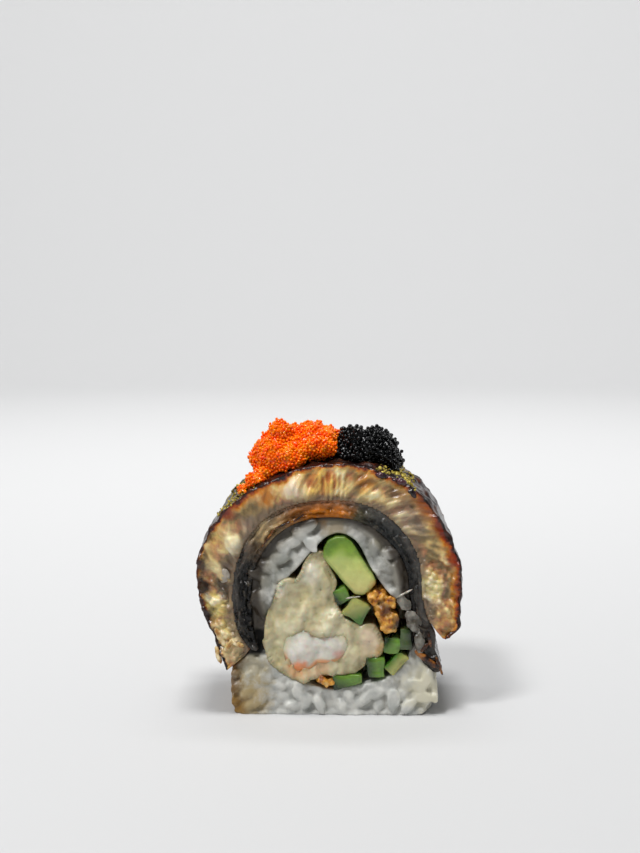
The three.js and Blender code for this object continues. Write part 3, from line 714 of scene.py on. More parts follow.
# %% Spread copies of a thing over a core
def scatter(name, core, thing, spacing, seed, depth=(0, 0), sizes=(0.9, 1.1), lean=0.4, where=None):
    tree = bpy.data.node_groups.new(name, "GeometryNodeTree")
    tree.interface.new_socket("Geometry", in_out="INPUT", socket_type="NodeSocketGeometry")
    tree.interface.new_socket("Geometry", in_out="OUTPUT", socket_type="NodeSocketGeometry")
    nodes, link = tree.nodes, tree.links.new
    start, end = nodes.new("NodeGroupInput"), nodes.new("NodeGroupOutput")

    spread = nodes.new("GeometryNodeDistributePointsOnFaces")
    spread.distribute_method = "POISSON"
    spread.inputs["Distance Min"].default_value = spacing * MM
    spread.inputs["Density Max"].default_value = 6 / (spacing * MM) ** 2
    spread.inputs["Seed"].default_value = seed
    link(start.outputs[0], spread.inputs["Mesh"])
    if where:
        allowed = nodes.new("GeometryNodeInputNamedAttribute")
        allowed.data_type = "FLOAT"
        allowed.inputs["Name"].default_value = where
        link(allowed.outputs["Attribute"], spread.inputs["Density Factor"])

    how_deep = nodes.new("FunctionNodeRandomValue")
    how_deep.inputs[2].default_value, how_deep.inputs[3].default_value = depth[0] * MM, depth[1] * MM
    how_deep.inputs["Seed"].default_value = seed + 1
    shift = nodes.new("ShaderNodeVectorMath")
    shift.operation = "SCALE"
    link(spread.outputs["Normal"], shift.inputs[0])
    link(how_deep.outputs[1], shift.inputs["Scale"])
    sunk = nodes.new("GeometryNodeSetPosition")
    link(spread.outputs["Points"], sunk.inputs["Geometry"])
    link(shift.outputs[0], sunk.inputs["Offset"])

    turns = nodes.new("FunctionNodeRandomValue")
    turns.data_type = "FLOAT_VECTOR"
    turns.inputs[0].default_value = (-lean, -lean, 0)
    turns.inputs[1].default_value = (lean, lean, 2 * math.pi)
    turns.inputs["Seed"].default_value = seed + 2
    turned = nodes.new("FunctionNodeRotateRotation")
    turned.rotation_space = "LOCAL"
    link(spread.outputs["Rotation"], turned.inputs["Rotation"])
    link(turns.outputs[0], turned.inputs["Rotate By"])

    grown = nodes.new("FunctionNodeRandomValue")
    grown.inputs[2].default_value, grown.inputs[3].default_value = sizes
    grown.inputs["Seed"].default_value = seed + 3

    source = nodes.new("GeometryNodeObjectInfo")
    source.inputs["Object"].default_value = thing
    laid = nodes.new("GeometryNodeInstanceOnPoints")
    link(sunk.outputs[0], laid.inputs["Points"])
    link(source.outputs["Geometry"], laid.inputs["Instance"])
    link(turned.outputs[0], laid.inputs["Rotation"])
    link(grown.outputs[1], laid.inputs["Scale"])
    real = nodes.new("GeometryNodeRealizeInstances")
    link(laid.outputs[0], real.inputs[0])
    link(real.outputs[0], end.inputs[0])

    pile = bpy.data.objects.new(name, core.data.copy())
    bpy.context.scene.collection.objects.link(pile)
    named(pile, name)
    apply(pile, "NODES", node_group=tree)
    print(name + ":", len(pile.data.polygons), "faces")
    return pile


# %% [markdown]
# ## Rice: one grain
# A cooked short grain is a plump oval, twice as long as it is wide and a little flat, with a dent where the
# germ was. It starts as a low ball, is drawn out, and one corner of its blunt end is pushed in.

# %% Model one grain of rice
GRAIN_LENGTH, GRAIN_WIDTH, GRAIN_THICKNESS = 4.5, 2.5, 2.2
bpy.ops.object.select_all(action="DESELECT")
bpy.ops.mesh.primitive_uv_sphere_add(segments=10, ring_count=8, radius=0.5 * MM, rotation=(0, math.pi / 2, 0))
grain_of_rice = named(bpy.context.object, "grain")
bpy.ops.object.transform_apply(location=False, rotation=True, scale=True)
bpy.ops.object.mode_set(mode="EDIT")
bpy.ops.mesh.select_all(action="SELECT")
bpy.ops.transform.resize(value=(GRAIN_LENGTH, GRAIN_WIDTH, GRAIN_THICKNESS))
choose(grain_of_rice, "VERT", lambda middle, normal: middle.x > 0.3 * GRAIN_LENGTH)
bpy.ops.transform.resize(value=(1.0, 1.15, 1.1), center_override=(0.35 * GRAIN_LENGTH * MM, 0, 0))
choose(grain_of_rice, "VERT", lambda middle, normal: middle.x > 0.3 * GRAIN_LENGTH and middle.y > 0.2)
bpy.ops.transform.translate(value=(-0.35 * MM, -0.25 * MM, 0))
bpy.ops.object.mode_set(mode="OBJECT")
bpy.ops.object.shade_smooth()

# %% [markdown]
# ## Rice: grains pressed into one another
# Pressed sushi rice is sticky: its grains keep their shape, but they melt together where they touch. So grains
# are laid over a core wherever the rice can be seen, eased back towards the cut as the knife presses them, and
# then remeshed together with the core, which softens the creases between them.

# %% Model the rice
CUT_REACH = 1.1  # how far a grain may stand out of the cut
FOOT_LEFT, FOOT_RIGHT, SIDE_REACH = -18.5, 20.2, 0.6  # the foot's sides, and how far a grain may pass them


def ease(values, limit, reach):
    """Values beyond the limit are pressed back, so that they pass it by no more than the reach."""
    beyond = np.maximum(values - limit, 0)
    return values - beyond + reach * (1 - np.exp(-beyond / reach))


def press_rice(piece):
    x, y, z = points_of(piece).T
    low = step(z, 11, 8)
    y = np.sign(y) * ease(np.abs(y), HALF_DEPTH, CUT_REACH - 0.8 * low)
    x = x + low * (ease(x, FOOT_RIGHT, SIDE_REACH) - x)
    x = x + low * (-ease(-x, -FOOT_LEFT, SIDE_REACH) - x)
    set_points(piece, np.stack([x, y, np.maximum(z, 0)], axis=1))


rice = clay_from("rice", "pressed_rice", 0.6, smoothing=6)
points, normals = points_of(rice), normals_of(rice)
x, y, z = points.T
from_edge = distance_from(rice, "from_edge", np.abs(normals[:, 1]) < 0.4)
left_slit = (x < -10.5) * step(z, 11.4, 12.0) * step(z, 16.4, 15.8)
dark_slit = np.maximum(left_slit, (x > 13.8) * (z > 8.2) * (z < 23.4))
on_foot_side = (z < 8.5) * (np.abs(normals[:, 0]) > 0.5) * (np.abs(x) > 16)
on_cut = step(np.abs(normals[:, 1]), 0.4, 0.7) * (np.abs(y) > 10)
store(rice, "shows", np.maximum(on_cut * step(from_edge, 0.0, 0.5), on_foot_side) * (1 - dark_slit))
towards_fillings = -normals[:, 0] * x - normals[:, 2] * (z - 17) > 0
in_hollow = towards_fillings * (np.hypot(x, z - 17) < 19) * (z > 3)
closing = 0.2 + (0.8 - 0.25 * step(z, 28, 32)) * in_hollow * (1 - on_cut)
carve(rice, closing - on_cut * (1.4 + 2.0 * left_slit) - 0.9 * on_foot_side)

packed_grains = scatter(
    "packed_grains", rice, grain_of_rice, spacing=2.0, seed=12, depth=(-0.4, 0.7), sizes=(0.8, 1.05),
    lean=0.3, where="shows",
)
press_rice(packed_grains)
pick(rice)
packed_grains.select_set(True)
bpy.ops.object.join()
apply(rice, "REMESH", mode="VOXEL", voxel_size=0.3 * MM, use_smooth_shade=True)
apply(rice, "SMOOTH", factor=0.5, iterations=1)
press_rice(rice)
x, y, z = points_of(rice).T
# The slit at the lower left, which the finish paints near black as shade.
store(rice, "slit", (x < -10.5) * step(z, 11.0, 11.8) * step(z, 16.8, 16.0) * step(np.abs(y), 12.4, 11.4))
# Near the skin, where the finish paints the ring browner and darker, as stain and painted shade.
store(rice, "near_skin", step(np.hypot(x, z - ARCH_CENTRE), 10.6, 13.8) * step(z, 13, 15))
creases = hollows(rice) * (0.3 + 0.7 * step(z, 9, 13))
store(rice, "crease", creases)
print("pressed rice:", len(rice.data.polygons), "faces, creases to", round(np.percentile(creases, 98), 2), "mm")

# %% [markdown]
# ## Rice: the finish
# Steamed short-grain rice, dressed with vinegar. It is a moist starch gel: greyish white, soft-edged because
# light spreads inside it, with a satin shine. Sauce has stained the lower left corner amber, and the right end
# of the foot is yellowish. Shade is painted into its colour as well: the ring is darker where the eel shades
# it, browner and darker next to the skin, partly from sauce, darker in the creases between grains, and near
# black in the slits at its ends and beside the crisp scraps.

# %% Steamed vinegared rice
rice_finish, tree = new_material("Steamed vinegared rice")
place = add(tree, "TexCoord").outputs["Object"]
cloud = add(tree, "TexNoise", {"Vector": place, "Scale": per_mm(2.4), "Detail": 3.0})
starch = add(
    tree, "ValToRGB", {"Fac": cloud.outputs["Fac"]},
    stops=[(0.3, "#AEB0AB"), (0.5, "#C6C6C0"), (0.7, "#DCDBD4")],
)
sauce_stains_and_painted_shade = patched(
    tree, place, starch.outputs["Color"],
    [
        # Painted shade: the first four darken the slit at the right end of the ring and the gap beside the crisp
        # scraps.
        (15.6, 20.5, 3.4, "#3A342E", 0.9),
        (15.4, 14.5, 3.4, "#5C5242", 0.8),
        (12.6, 17.8, 2.2, "#1E1A16", 0.9),  # the shaded gap beside the crisp scraps
        (11.0, 22.6, 1.5, "#4A4238", 0.8),
        (-19.8, 26.8, 3.0, "#A69D90", 1.0),  # the loose grain, moist with fat
        (7.8, 31.6, 3.4, "#7A7B74", 0.75),  # the ring lies in the shade of the eel
        (12.0, 27.0, 3.4, "#76766E", 0.7),
        (-12.4, 20.0, 3.6, "#565850", 0.8),
        (-9.6, 29.0, 3.8, "#84857A", 0.6),
        (-12.4, 26.0, 2.6, "#62645A", 0.7),
        (1.0, 36.4, 3.0, "#A08C66", 0.7),  # fat that has run down from the jelly
        (-15.0, 9.5, 5.0, "#9E9270", 0.7),
        (-16.8, 2.2, 6.5, "#A58C50", 0.8),  # sauce drawn up at the lower left corner
        (-18.6, 1.2, 3.4, "#8A6420", 0.85),
        (-18.9, 6.0, 2.8, "#664418", 0.8),
        (-18.7, 10.5, 3.0, "#6E4E26", 0.8),
        (18.5, 5.5, 5.5, "#D6D0B6", 0.8),
        (-1.5, 37.2, 1.4, "#C98A3A", 0.8),
        (-8.0, 37.0, 3.0, "#B8AC94", 0.6),
        (10.5, 35.0, 3.5, "#B0AA90", 0.6),
    ],
)
# Next to the skin the ring turns browner, partly sauce stain and partly painted shade of the skin.
near_skin = add(tree, "Attribute", attribute_name="near_skin").outputs["Fac"]
stain_and_painted_shade_near_skin = add(tree, "MapRange", {"Value": near_skin, "To Max": 0.6})
tinged = add(tree, "MixRGB", {"Fac": stain_and_painted_shade_near_skin.outputs["Result"], "Color1": sauce_stains_and_painted_shade, "Color2": "#6F6450"})
# Painted shade: the creases between grains are darkened.
hollow = add(tree, "Attribute", attribute_name="crease").outputs["Fac"]
crease = add(tree, "MapRange", {"Value": hollow, "From Min": 0.03, "From Max": 0.3, "To Max": 0.75})
with_painted_crease_shade = add(
    tree, "MixRGB", {"Fac": crease.outputs["Result"], "Color1": tinged.outputs["Color"], "Color2": "#565244"}
)
# Painted shade: a dark band where the ring meets the skin.
painted_shade_at_skin = add(tree, "MapRange", {"Value": near_skin, "From Min": 0.78, "From Max": 1.0, "To Max": 0.9})
edged = add(
    tree, "MixRGB", {"Fac": painted_shade_at_skin.outputs["Result"], "Color1": with_painted_crease_shade.outputs["Color"], "Color2": "#2C2216"}
)
# Painted shade: the slit at the lower left is painted near black.
slit = add(tree, "Attribute", attribute_name="slit").outputs["Fac"]
dry = add(tree, "MapRange", {"Value": slit, "To Min": 0.38, "To Max": 0.9})
varnish = add(tree, "MapRange", {"Value": slit, "To Min": 0.15, "To Max": 0.0})
shaded = add(tree, "MixRGB", {"Fac": slit, "Color1": edged.outputs["Color"], "Color2": "#080706"})
dimple = add(tree, "TexNoise", {"Vector": place, "Scale": per_mm(0.7), "Detail": 3.0})
rice_bump = add(tree, "Bump", {"Height": dimple.outputs["Fac"], "Strength": 0.25, "Distance": 0.15 * MM})
rice_surface = add(
    tree, "BsdfPrincipled",
    {
        "Base Color": shaded.outputs["Color"], "Roughness": dry.outputs["Result"], "IOR": 1.38,
        "Normal": rice_bump.outputs["Normal"],
        "Subsurface Weight": 0.4, "Subsurface Scale": 0.9 * MM, "Subsurface Radius": (1.0, 0.95, 0.85),
        "Coat Weight": varnish.outputs["Result"], "Coat Roughness": 0.2,
    },
)
add(tree, "OutputMaterial", {"Surface": rice_surface.outputs["BSDF"]})
coat_with(rice, rice_finish)


# %% [markdown]
# ## Nori
# The sleeve is a sheet of dried seaweed that has softened in the rice. Only its edge shows, as a thin black line
# that wavers round the fillings. It keeps the plain sleeve's form and is crinkled by a fraction of its
# thickness.

# %% Model and finish the nori
NORI_SET_BACK = 1.3  # how far its cut edge lies behind the rice's
nori = clay_from("nori", "nori_sheet", 0.25, smoothing=0)
points = points_of(nori)
carve(nori, 0.1 * lumps(points, (1.6, 3.0, 1.6), seed=8))
points = points_of(nori)
points[:, 1] *= 1 - NORI_SET_BACK / HALF_DEPTH
set_points(nori, points)

nori_finish, tree = new_material("Softened nori")
place = add(tree, "TexCoord").outputs["Object"]
mesh_pattern = add(tree, "TexNoise", {"Vector": place, "Scale": per_mm(0.9), "Detail": 5.0})
green_black = add(
    tree, "ValToRGB", {"Fac": mesh_pattern.outputs["Fac"]},
    stops=[(0.35, "#0C0F0A"), (0.55, "#1B2114"), (0.75, "#333A22")],
)
crinkle = add(tree, "Bump", {"Height": mesh_pattern.outputs["Fac"], "Strength": 0.5, "Distance": 0.1 * MM})
nori_surface = add(
    tree, "BsdfPrincipled",
    {"Base Color": green_black.outputs["Color"], "Roughness": 0.4, "Normal": crinkle.outputs["Normal"]},
)
add(tree, "OutputMaterial", {"Surface": nori_surface.outputs["BSDF"]})
coat_with(nori, nori_finish)


# %% [markdown]
# ## Fillings
# Every filling is carved from its own plain solid and told how far each spot lies from its rim, since a rim is
# what each of them shows: olive where batter met the seaweed, orange where the prawn has its membrane, dark
# green where cucumber has its rind.

# %% Model the soft fillings
def filling(node, name, cell, swell, smoothing=2):
    piece = clay_from(node, name, cell, smoothing)
    sideways = 1 - step(np.abs(normals_of(piece)[:, 1]), 0.4, 0.8)
    carve(piece, swell * sideways)
    distance_from(piece, "rim", np.abs(normals_of(piece)[:, 1]) < 0.4)
    return piece


batter = refine_cuts(filling("batter", "batter_coat", 0.3, swell=0.65))
points = points_of(batter)
pores = step(cells(points, 1.4, seed=9), 0.3, 0.0)
shreds = lumps(points, (1.8, 2.0, 3.6), seed=10) + 0.8 * lumps(points, 3.6, seed=57)
tip = bump_at(points, -8.9, 25.4, 1.3) + bump_at(points, -1.6, 16.4, 1.6) + bump_at(points, 1.6, 15.4, 1.4)
height = 0.55 * shreds + 0.14 * lumps(points, 1.0, seed=11)
height += 0.8 * tip - 0.25 * pores
store(batter, "raised", height)
carve(batter, height * step(np.abs(normals_of(batter)[:, 1]), 0.3, 0.8))
apply(batter, "SMOOTH", factor=0.5, iterations=2)
hollows(batter)

prawn = filling("prawn", "prawn_meat", 0.22, swell=0.55, smoothing=5)
points = points_of(prawn)
lobes = bump_at(points, -5.2, 12.8, 2.6) + bump_at(points, 0.6, 13.6, 2.4) - bump_at(points, -2.2, 12.2, 0.9)
height = 0.7 * lobes + 0.14 * lumps(points, (1.6, 4, 1.6), seed=12) + 0.05 * lumps(points, 0.8, seed=13)
height *= step(np.abs(normals_of(prawn)[:, 1]), 0.4, 0.8)
store(prawn, "raised", height)
carve(prawn, height)

avocado = filling("avocado", "avocado_stick", 0.22, swell=0.4, smoothing=1)
points = points_of(avocado)
carve(avocado, 0.12 * lumps(points, 2.5, seed=14))

crisps = []
for node, name in [("crisp_nuggets", "crisp_batter_nuggets"), ("crisp_scrap", "crisp_batter_scrap")]:
    crisp = filling(node, name, 0.18, swell=0.35, smoothing=1)
    points = points_of(crisp)
    height = 0.5 * (0.5 - cells(points, (1.1, 1.6, 1.6), seed=22)) + 0.35 * lumps(points, 0.9, seed=23)
    store(crisp, "raised", height)
    carve(crisp, height)
    crisps.append(crisp)

# %% [markdown]
# ## Cucumber sticks
# A knife leaves cucumber with crisp edges, which remeshed clay would lose. So each stick is a box at its own
# size, place and tilt, with narrow bevels, its cut ends inset and drawn out a little where the flesh has
# swollen, and then subdivided and carved along its length. The fifth is a wedge that gets thinner to the right.
# Each stick is also told on which side the rind was.

# %% Model the cucumber sticks
STICKS = [  # x, z, width, height, tilt in degrees, height of the right end as a share of the left, rind
    (2.2, 23.1, 2.7, 2.9, 25, 1.0, (-1, -0.4)),
    (5.1, 20.3, 4.2, 4.0, -32, 1.0, (1, -0.8)),
    (11.7, 13.6, 3.1, 3.2, -6, 1.0, (-1, 0.6)),
    (8.7, 9.3, 3.3, 3.9, 3, 1.0, (-1, 0)),
    (3.3, 6.7, 5.6, 3.1, 8, 0.5, (-1, -0.6)),
    (12.6, 10.2, 4.4, 2.3, 48, 1.0, (0, 1)),
    (14.3, 14.8, 2.3, 3.9, -2, 1.0, (1, 0.3)),
]
cucumbers = []
for number, (x, z, width, height, tilt, taper, rind_side) in enumerate(STICKS, start=1):
    bpy.ops.object.select_all(action="DESELECT")
    bpy.ops.mesh.primitive_cube_add(size=MM)
    stick = named(bpy.context.object, f"cucumber_stick_{number}")
    bpy.ops.object.mode_set(mode="EDIT")
    bpy.ops.mesh.select_all(action="SELECT")
    bpy.ops.transform.resize(value=(width, 2 * HALF_DEPTH + 0.3, height))
    choose(stick, "VERT", lambda middle, normal: middle.x > 0)
    bpy.ops.transform.resize(value=(1, 1, taper), center_override=(0, 0, 0))
    choose(stick, "EDGE", lambda middle, normal: True)
    bpy.ops.mesh.bevel(offset=0.22 * MM, segments=2, affect="EDGES")
    choose(stick, "FACE", lambda middle, normal: abs(normal.y) > 0.99)
    bpy.ops.mesh.inset(thickness=0.5 * MM, use_individual=True)
    bpy.ops.transform.resize(value=(1, 1.01, 1), center_override=(0, 0, 0))
    bpy.ops.mesh.select_all(action="SELECT")
    bpy.ops.mesh.subdivide(number_cuts=5)
    bpy.ops.object.mode_set(mode="OBJECT")
    across, _, up = (points_of(stick) / [width, 1, height]).T
    store(stick, "rind", across * rind_side[0] + up * rind_side[1])
    bpy.ops.object.transform_apply(location=True, rotation=True, scale=True)
    carve(stick, 0.22 * lumps(points_of(stick) + x, (1.6, 30, 1.6), seed=14 + number))
    bpy.ops.transform.rotate(value=math.radians(tilt), orient_axis="Y", center_override=(0, 0, 0))
    bpy.ops.transform.translate(value=(x * MM, 0, z * MM))
    bpy.ops.object.transform_apply(location=True, rotation=True, scale=True)
    bpy.ops.object.shade_smooth()
    cucumbers.append(stick)
print("fillings:", sum(len(p.data.polygons) for p in [batter, prawn, avocado, *cucumbers, *crisps]), "faces")

# %% [markdown]
# ## Fillings: the finishes
# Batter is soft and doughy where it was cut: cream, finely pored, half matt, and browner where it was fried.
# Its colour is painted lighter on its raised folds and darker in its low ones and creases, as light and shade.
# Prawn meat is white, smooth and wet, with an orange membrane low on its left. Avocado goes from green at its
# skin to yellow. Cucumber is watery, so light goes into it, with a dark rind. The crisp scraps are fried brown.

# %% Moist fried batter
batter_finish, tree = new_material("Moist fried batter")
place = add(tree, "TexCoord").outputs["Object"]
rim = add(tree, "Attribute", attribute_name="rim").outputs["Fac"]
dough = add(tree, "TexNoise", {"Vector": place, "Scale": per_mm(2.4), "Detail": 2.0})
cream = add(
    tree, "ValToRGB", {"Fac": dough.outputs["Fac"]},
    stops=[(0.3, "#CAC29E"), (0.5, "#D6CFB0"), (0.7, "#E4DEC8")],
)
# Painted light and shade: lighter where the batter was carved high, darker where it lies low.
height = add(
    tree, "MapRange",
    {"Value": add(tree, "Attribute", attribute_name="raised").outputs["Fac"], "From Min": -0.5, "From Max": 0.7},
)
painted_fold_light = add(
    tree, "ValToRGB", {"Fac": height.outputs["Result"]},
    stops=[(0.0, "#5A5650"), (0.45, "#808080"), (1.0, "#A8A6A2")],
)
doughy = add(
    tree, "MixRGB", {"Fac": 0.5, "Color1": cream.outputs["Color"], "Color2": painted_fold_light.outputs["Color"]},
    blend_type="OVERLAY",
)
soaked = patched(
    tree, place, doughy.outputs["Color"],
    [
        (8.6, 13.4, 3.6, "#D9C3A0", 0.8),
        (7.8, 15.2, 2.4, "#CDB8A0", 0.7),
        (10.0, 12.6, 1.8, "#D6A45C", 0.8),  # fried edges beside the cucumber
        (3.2, 21.0, 1.6, "#B98E48", 0.8),
        (-6.2, 9.0, 2.6, "#D9A874", 0.8),  # orange from the prawn's membrane
        (-1.5, 8.9, 2.2, "#DDB48C", 0.7),
        # The next patch is a painted highlight on the bright tip at the left.
        (-9.6, 25.0, 2.0, "#EFE8D2", 0.9),
        (-3.9, 27.4, 2.6, "#D6D0BC", 0.8),
        (-1.0, 24.6, 2.2, "#A89F7C", 0.6),
    ],
)
olive = add(tree, "MapRange", {"Value": rim, "From Min": 1.0, "From Max": 0.1, "To Max": 0.6})
edged = add(
    tree, "MixRGB", {"Fac": olive.outputs["Result"], "Color1": soaked, "Color2": "#8F8458"}
)
# Painted shade: the creases are darkened.
hollow = add(tree, "Attribute", attribute_name="hollow").outputs["Fac"]
crease = add(tree, "MapRange", {"Value": hollow, "From Min": 0.08, "From Max": 0.4, "To Max": 0.7})
sunk = add(
    tree, "MixRGB", {"Fac": crease.outputs["Result"], "Color1": edged.outputs["Color"], "Color2": "#7E7248"}
)
pore = add(tree, "TexVoronoi", {"Vector": place, "Scale": per_mm(0.7)})
pored = add(tree, "Bump", {"Height": pore.outputs["Distance"], "Strength": 0.25, "Distance": 0.1 * MM})
batter_surface = add(
    tree, "BsdfPrincipled",
    {
        "Base Color": sunk.outputs["Color"], "Roughness": 0.38, "Normal": pored.outputs["Normal"],
        "Subsurface Weight": 0.4, "Subsurface Scale": 0.9 * MM, "Coat Weight": 0.25, "Coat Roughness": 0.18,
    },
)
add(tree, "OutputMaterial", {"Surface": batter_surface.outputs["BSDF"]})
coat_with(batter, batter_finish)

# %% Cooked prawn
prawn_finish, tree = new_material("Cooked prawn")
place = add(tree, "TexCoord").outputs["Object"]
rim = add(tree, "Attribute", attribute_name="rim").outputs["Fac"]
muscle = add(tree, "TexNoise", {"Vector": place, "Scale": per_mm(2.0), "Detail": 3.0})
white = add(
    tree, "ValToRGB", {"Fac": muscle.outputs["Fac"]},
    stops=[(0.3, "#C6BFB2"), (0.5, "#D8D2C6"), (0.7, "#E8E4DA")],
)
blended = add(tree, "MapRange", {"Value": rim, "From Min": 1.5, "From Max": 0.1, "To Max": 0.85})
edged = add(
    tree, "MixRGB", {"Fac": blended.outputs["Result"], "Color1": white.outputs["Color"], "Color2": "#D3C5A4"}
)
parts = add(tree, "SeparateXYZ", {"Vector": place})
low = add(
    tree, "MapRange", {"Value": parts.outputs["Z"], "From Min": 12.6 * MM, "From Max": 10.8 * MM}
)
at_rim = add(tree, "MapRange", {"Value": rim, "From Min": 0.9, "From Max": 0.4, "To Max": 0.8})
run = add(tree, "Math", {0: low.outputs["Result"], 1: at_rim.outputs["Result"]}, operation="MULTIPLY")
orange_run = add(
    tree, "MixRGB", {"Fac": run.outputs["Value"], "Color1": edged.outputs["Color"], "Color2": "#E69458"}
)
membrane = patched(
    tree, place, orange_run.outputs["Color"],
    [(-9.2, 11.0, 1.2, "#4A1E08", 0.9), (-5.8, 9.0, 2.0, "#E8843A", 0.8), (1.8, 12.0, 1.3, "#E2A494", 0.6)],
)
soft = add(tree, "Bump", {"Height": muscle.outputs["Fac"], "Strength": 0.2, "Distance": 0.3 * MM})
prawn_surface = add(
    tree, "BsdfPrincipled",
    {
        "Base Color": membrane, "Roughness": 0.32, "Normal": soft.outputs["Normal"],
        "Subsurface Weight": 0.45, "Subsurface Scale": 1.5 * MM, "Coat Weight": 0.25, "Coat Roughness": 0.15,
    },
)
add(tree, "OutputMaterial", {"Surface": prawn_surface.outputs["BSDF"]})
coat_with(prawn, prawn_finish)

# %% Ripe avocado
avocado_finish, tree = new_material("Ripe avocado")
place = add(tree, "TexCoord").outputs["Object"]
rim = add(tree, "Attribute", attribute_name="rim").outputs["Fac"]
parts = add(tree, "SeparateXYZ", {"Vector": place})
ripeness = add(
    tree, "MapRange", {"Value": parts.outputs["Z"], "From Min": 34.5 * MM, "From Max": 24.0 * MM}
)
green = add(
    tree, "ValToRGB", {"Fac": ripeness.outputs["Result"]},
    stops=[(0.0, "#587E20"), (0.34, "#8CA840"), (0.44, "#BCC870"), (0.75, "#CCCC7C"), (1.0, "#CFC67C")],
)
edge = add(tree, "MapRange", {"Value": rim, "From Min": 0.7, "From Max": 0.1, "To Max": 0.55})
edged = add(
    tree, "MixRGB", {"Fac": edge.outputs["Result"], "Color1": green.outputs["Color"], "Color2": "#6E8C34"}
)
butter = add(tree, "TexNoise", {"Vector": place, "Scale": per_mm(0.9), "Detail": 3.0})
clouded = add(
    tree, "MixRGB", {"Fac": 0.22, "Color1": edged.outputs["Color"], "Color2": butter.outputs["Fac"]},
    blend_type="OVERLAY",
)
browned = patched(
    tree, place, clouded.outputs["Color"],
    [(8.3, 25.2, 1.1, "#B08038", 0.8), (1.8, 30.4, 1.8, "#BCC878", 0.5), (-0.4, 32.6, 2.2, "#527620", 0.75)],
)
soft = add(tree, "Bump", {"Height": butter.outputs["Fac"], "Strength": 0.3, "Distance": 0.3 * MM})
avocado_surface = add(
    tree, "BsdfPrincipled",
    {
        "Base Color": browned, "Roughness": 0.36, "Normal": soft.outputs["Normal"],
        "Subsurface Weight": 0.25, "Subsurface Scale": 1.2 * MM, "Coat Weight": 0.1, "Coat Roughness": 0.25,
    },
)
add(tree, "OutputMaterial", {"Surface": avocado_surface.outputs["BSDF"]})
coat_with(avocado, avocado_finish)

# %% Raw cucumber, in three greens, the darkest of them painted as in shade
for name, flesh_colour, rind_colour, members in [
    ("Raw cucumber", "#648A30", "#122A08", (1, 3, 4, 5)),
    ("Raw cucumber near the seeds", "#A0A25A", "#3E6A1C", (2, 6)),
    # The darker greens of this copy are painted shade on the seventh stick.
    ("Raw cucumber in the shade", "#46582E", "#121E0A", (7,)),
]:
    cucumber_finish, tree = new_material(name)
    place = add(tree, "TexCoord").outputs["Object"]
    side = add(tree, "Attribute", attribute_name="rind").outputs["Fac"]
    juice = add(tree, "TexNoise", {"Vector": place, "Scale": per_mm(1.2), "Detail": 4.0})
    wavered = add(tree, "Math", {0: juice.outputs["Fac"], 1: 0.5, 2: side}, operation="MULTIPLY_ADD")
    rind = add(tree, "MapRange", {"Value": wavered.outputs["Value"], "From Min": 0.15, "From Max": 0.75})
    green = add(
        tree, "MixRGB", {"Fac": rind.outputs["Result"], "Color1": flesh_colour, "Color2": rind_colour}
    )
    watery = add(
        tree, "MixRGB", {"Fac": 0.4, "Color1": green.outputs["Color"], "Color2": juice.outputs["Fac"]},
        blend_type="OVERLAY",
    )
    soft = add(tree, "Bump", {"Height": juice.outputs["Fac"], "Strength": 0.2, "Distance": 0.2 * MM})
    cucumber_surface = add(
        tree, "BsdfPrincipled",
        {
            "Base Color": watery.outputs["Color"], "Roughness": 0.25, "Normal": soft.outputs["Normal"],
            "Subsurface Weight": 0.3, "Subsurface Scale": 1.5 * MM, "Coat Weight": 0.3,
            "Coat Roughness": 0.12,
        },
    )
    add(tree, "OutputMaterial", {"Surface": cucumber_surface.outputs["BSDF"]})
    for number in members:
        coat_with(cucumbers[number - 1], cucumber_finish)

# %% Deep-fried batter scraps
crisp_finish, tree = new_material("Deep-fried batter scraps")
place = add(tree, "TexCoord").outputs["Object"]
fried = add(tree, "TexNoise", {"Vector": place, "Scale": per_mm(1.3), "Detail": 5.0})
golden = add(
    tree, "ValToRGB", {"Fac": fried.outputs["Fac"]},
    stops=[(0.3, "#6E3408"), (0.42, "#B4701E"), (0.55, "#DCA03C"), (0.7, "#EEC478")],
)
# The near-black spot at x 13.2, z 17.8 is painted shade in the dark hollow beside the scraps; the other spots are
# fried brown.
fried_brown_and_painted_shade = patched(
    tree, place, golden.outputs["Color"],
    [(10.6, 20.4, 1.4, "#5A2C0A", 0.85), (13.2, 17.8, 1.9, "#160A04", 0.95), (9.6, 21.8, 1.0, "#6A3A10", 0.7)],
)
rough = add(tree, "Bump", {"Height": fried.outputs["Fac"], "Strength": 0.5, "Distance": 0.3 * MM})
crisp_surface = add(
    tree, "BsdfPrincipled",
    {
        "Base Color": fried_brown_and_painted_shade, "Roughness": 0.4, "Normal": rough.outputs["Normal"],
        "Subsurface Weight": 0.1, "Subsurface Scale": 0.8 * MM, "Coat Weight": 0.2, "Coat Roughness": 0.25,
    },
)
add(tree, "OutputMaterial", {"Surface": crisp_surface.outputs["BSDF"]})
for crisp in crisps:
    coat_with(crisp, crisp_finish)


# %% [markdown]
# ## Roe
# Each heap is hundreds of tiny eggs that cling together in craggy clusters. A core with the heap's form is
# roughened into crags and sunk by less than an egg, and eggs are laid all over it, some further out than
# others. An egg is a ball a few times coarser than a pearl, pressed a little out of round.

# %% Model one egg
def model_egg(name, size):
    bpy.ops.object.select_all(action="DESELECT")
    bpy.ops.mesh.primitive_uv_sphere_add(segments=8, ring_count=6, radius=size / 2 * MM)
    egg = named(bpy.context.object, name)
    bpy.ops.object.mode_set(mode="EDIT")
    bpy.ops.mesh.select_all(action="SELECT")
    bpy.ops.transform.resize(value=(1.0, 0.94, 0.9))
    bpy.ops.object.mode_set(mode="OBJECT")
    bpy.ops.object.shade_smooth()
    return egg


